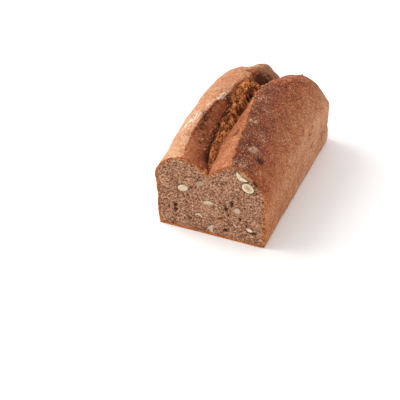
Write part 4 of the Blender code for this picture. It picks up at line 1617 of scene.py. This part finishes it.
flour_sizes = {
    "Density": 1.5e5,
    "Smallest": 0.00013,
    "Largest": 0.00036,
    "Flatness": 0.30,
    "Seed": 3,
    "Material": speck_material("flour_grain", (0.68, 0.47, 0.29), (0.50, 0.32, 0.18)),
}
crumb_sizes = {
    "Density": 4.0e5,
    "Smallest": 0.00022,
    "Largest": 0.00085,
    "Flatness": 0.8,
    "Seed": 8,
    "Material": speck_material("crumb_grain", (0.56, 0.25, 0.10), (0.30, 0.11, 0.04)),
}
flour_specks = scattered("flour_specks", crust, scatter_tree("strew_flour", "flour_grains"), flour_sizes)
loose_crumbs = scattered("loose_crumbs", crust, scatter_tree("strew_crumbs", "crumb_grains"), crumb_sizes)

# %% [markdown]
# ## Floor, light and camera
#
# The loaf stands on a white floor under soft light from the left, so its shadow falls softly to the
# right. One large round lamp gives that, since a wide lamp blurs the shadow's edge, and a pale world
# fills the rest. The camera has a long lens and looks down at the corner between the cut and the right
# side.

# %% Helpers for the stage
FLOOR_REACH, FLOOR_WHITE = 6.0, (0.96, 0.955, 0.95, 1.0)
SENSOR = 36.0


def add_floor():
    mesh = bpy.data.meshes.new("floor")
    corners = [(x * FLOOR_REACH, y * FLOOR_REACH, 0) for x, y in ((-1, -1), (1, -1), (1, 1), (-1, 1))]
    mesh.from_pydata(corners, [], [(0, 1, 2, 3)])
    material, tree, shader, place = new_material("floor")
    shader.inputs["Base Color"].default_value = FLOOR_WHITE
    shader.inputs["Roughness"].default_value = 0.75
    shader.inputs["Specular IOR Level"].default_value = 0.1
    mesh.materials.append(material)
    return put_in_scene("floor", mesh)


def put_facing(name, data, place, direction):
    """Puts a lamp or a camera at a place, turned to look in a direction."""
    made = put_in_scene(name, data)
    made.location = place
    made.rotation_mode = "QUATERNION"
    made.rotation_quaternion = direction.to_track_quat("-Z", "Y")
    return made


def add_area_light(name, place, aim, size, power, colour):
    light = bpy.data.lights.new(name, "AREA")
    light.shape, light.size, light.energy, light.color = "DISK", size, power, colour
    return put_facing(name, light, place, Vector(aim) - Vector(place))


def add_camera(azimuth, elevation, distance, target, lens):
    """A camera that looks at target from distance metres away. Azimuth 0 looks along +Y."""
    a, e = math.radians(azimuth), math.radians(elevation)
    back = Vector((math.sin(a) * math.cos(e), -math.cos(a) * math.cos(e), math.sin(e)))
    data = bpy.data.cameras.new("camera")
    data.sensor_width, data.lens = SENSOR, lens
    data.clip_start, data.clip_end = 0.05, 50
    bpy.context.scene.camera = put_facing("camera", data, Vector(target) + back * distance, -back)
    return bpy.context.scene.camera


print("stage helpers ready")

# %% Set the stage
add_floor()
add_area_light("window", (-0.98, -0.06, 0.90), (0, 0, 0.03), 1.15, 14.5, (1.0, 0.985, 0.96))
world = bpy.data.worlds.new("studio")
world.use_nodes = True
world.node_tree.nodes["Background"].inputs["Color"].default_value = (1.0, 1.0, 1.0, 1.0)
world.node_tree.nodes["Background"].inputs["Strength"].default_value = 0.93
bpy.context.scene.world = world
bpy.context.scene.view_settings.view_transform = "Standard"
camera = add_camera(22.106, 38.286, 1.4484, (-0.0279, 0.0425 + CUT_Y, 0.0), 144.0)
print("camera lens", camera.data.lens, "mm")

# %% [markdown]
# ## Attach the pieces
#
# Every piece rides on the loaf's one body. The crust, the cut face and the torn strip together stand
# for the measured loaf. The bits, specks and crumbs only lie on it.

# %% Tie the pieces to the measured model
for made in (crust, crumb_face, torn_crumb):
    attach(made, "root")
    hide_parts("loaf")
for made in (torn_bits, flour_specks, loose_crumbs):
    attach(made, "root")
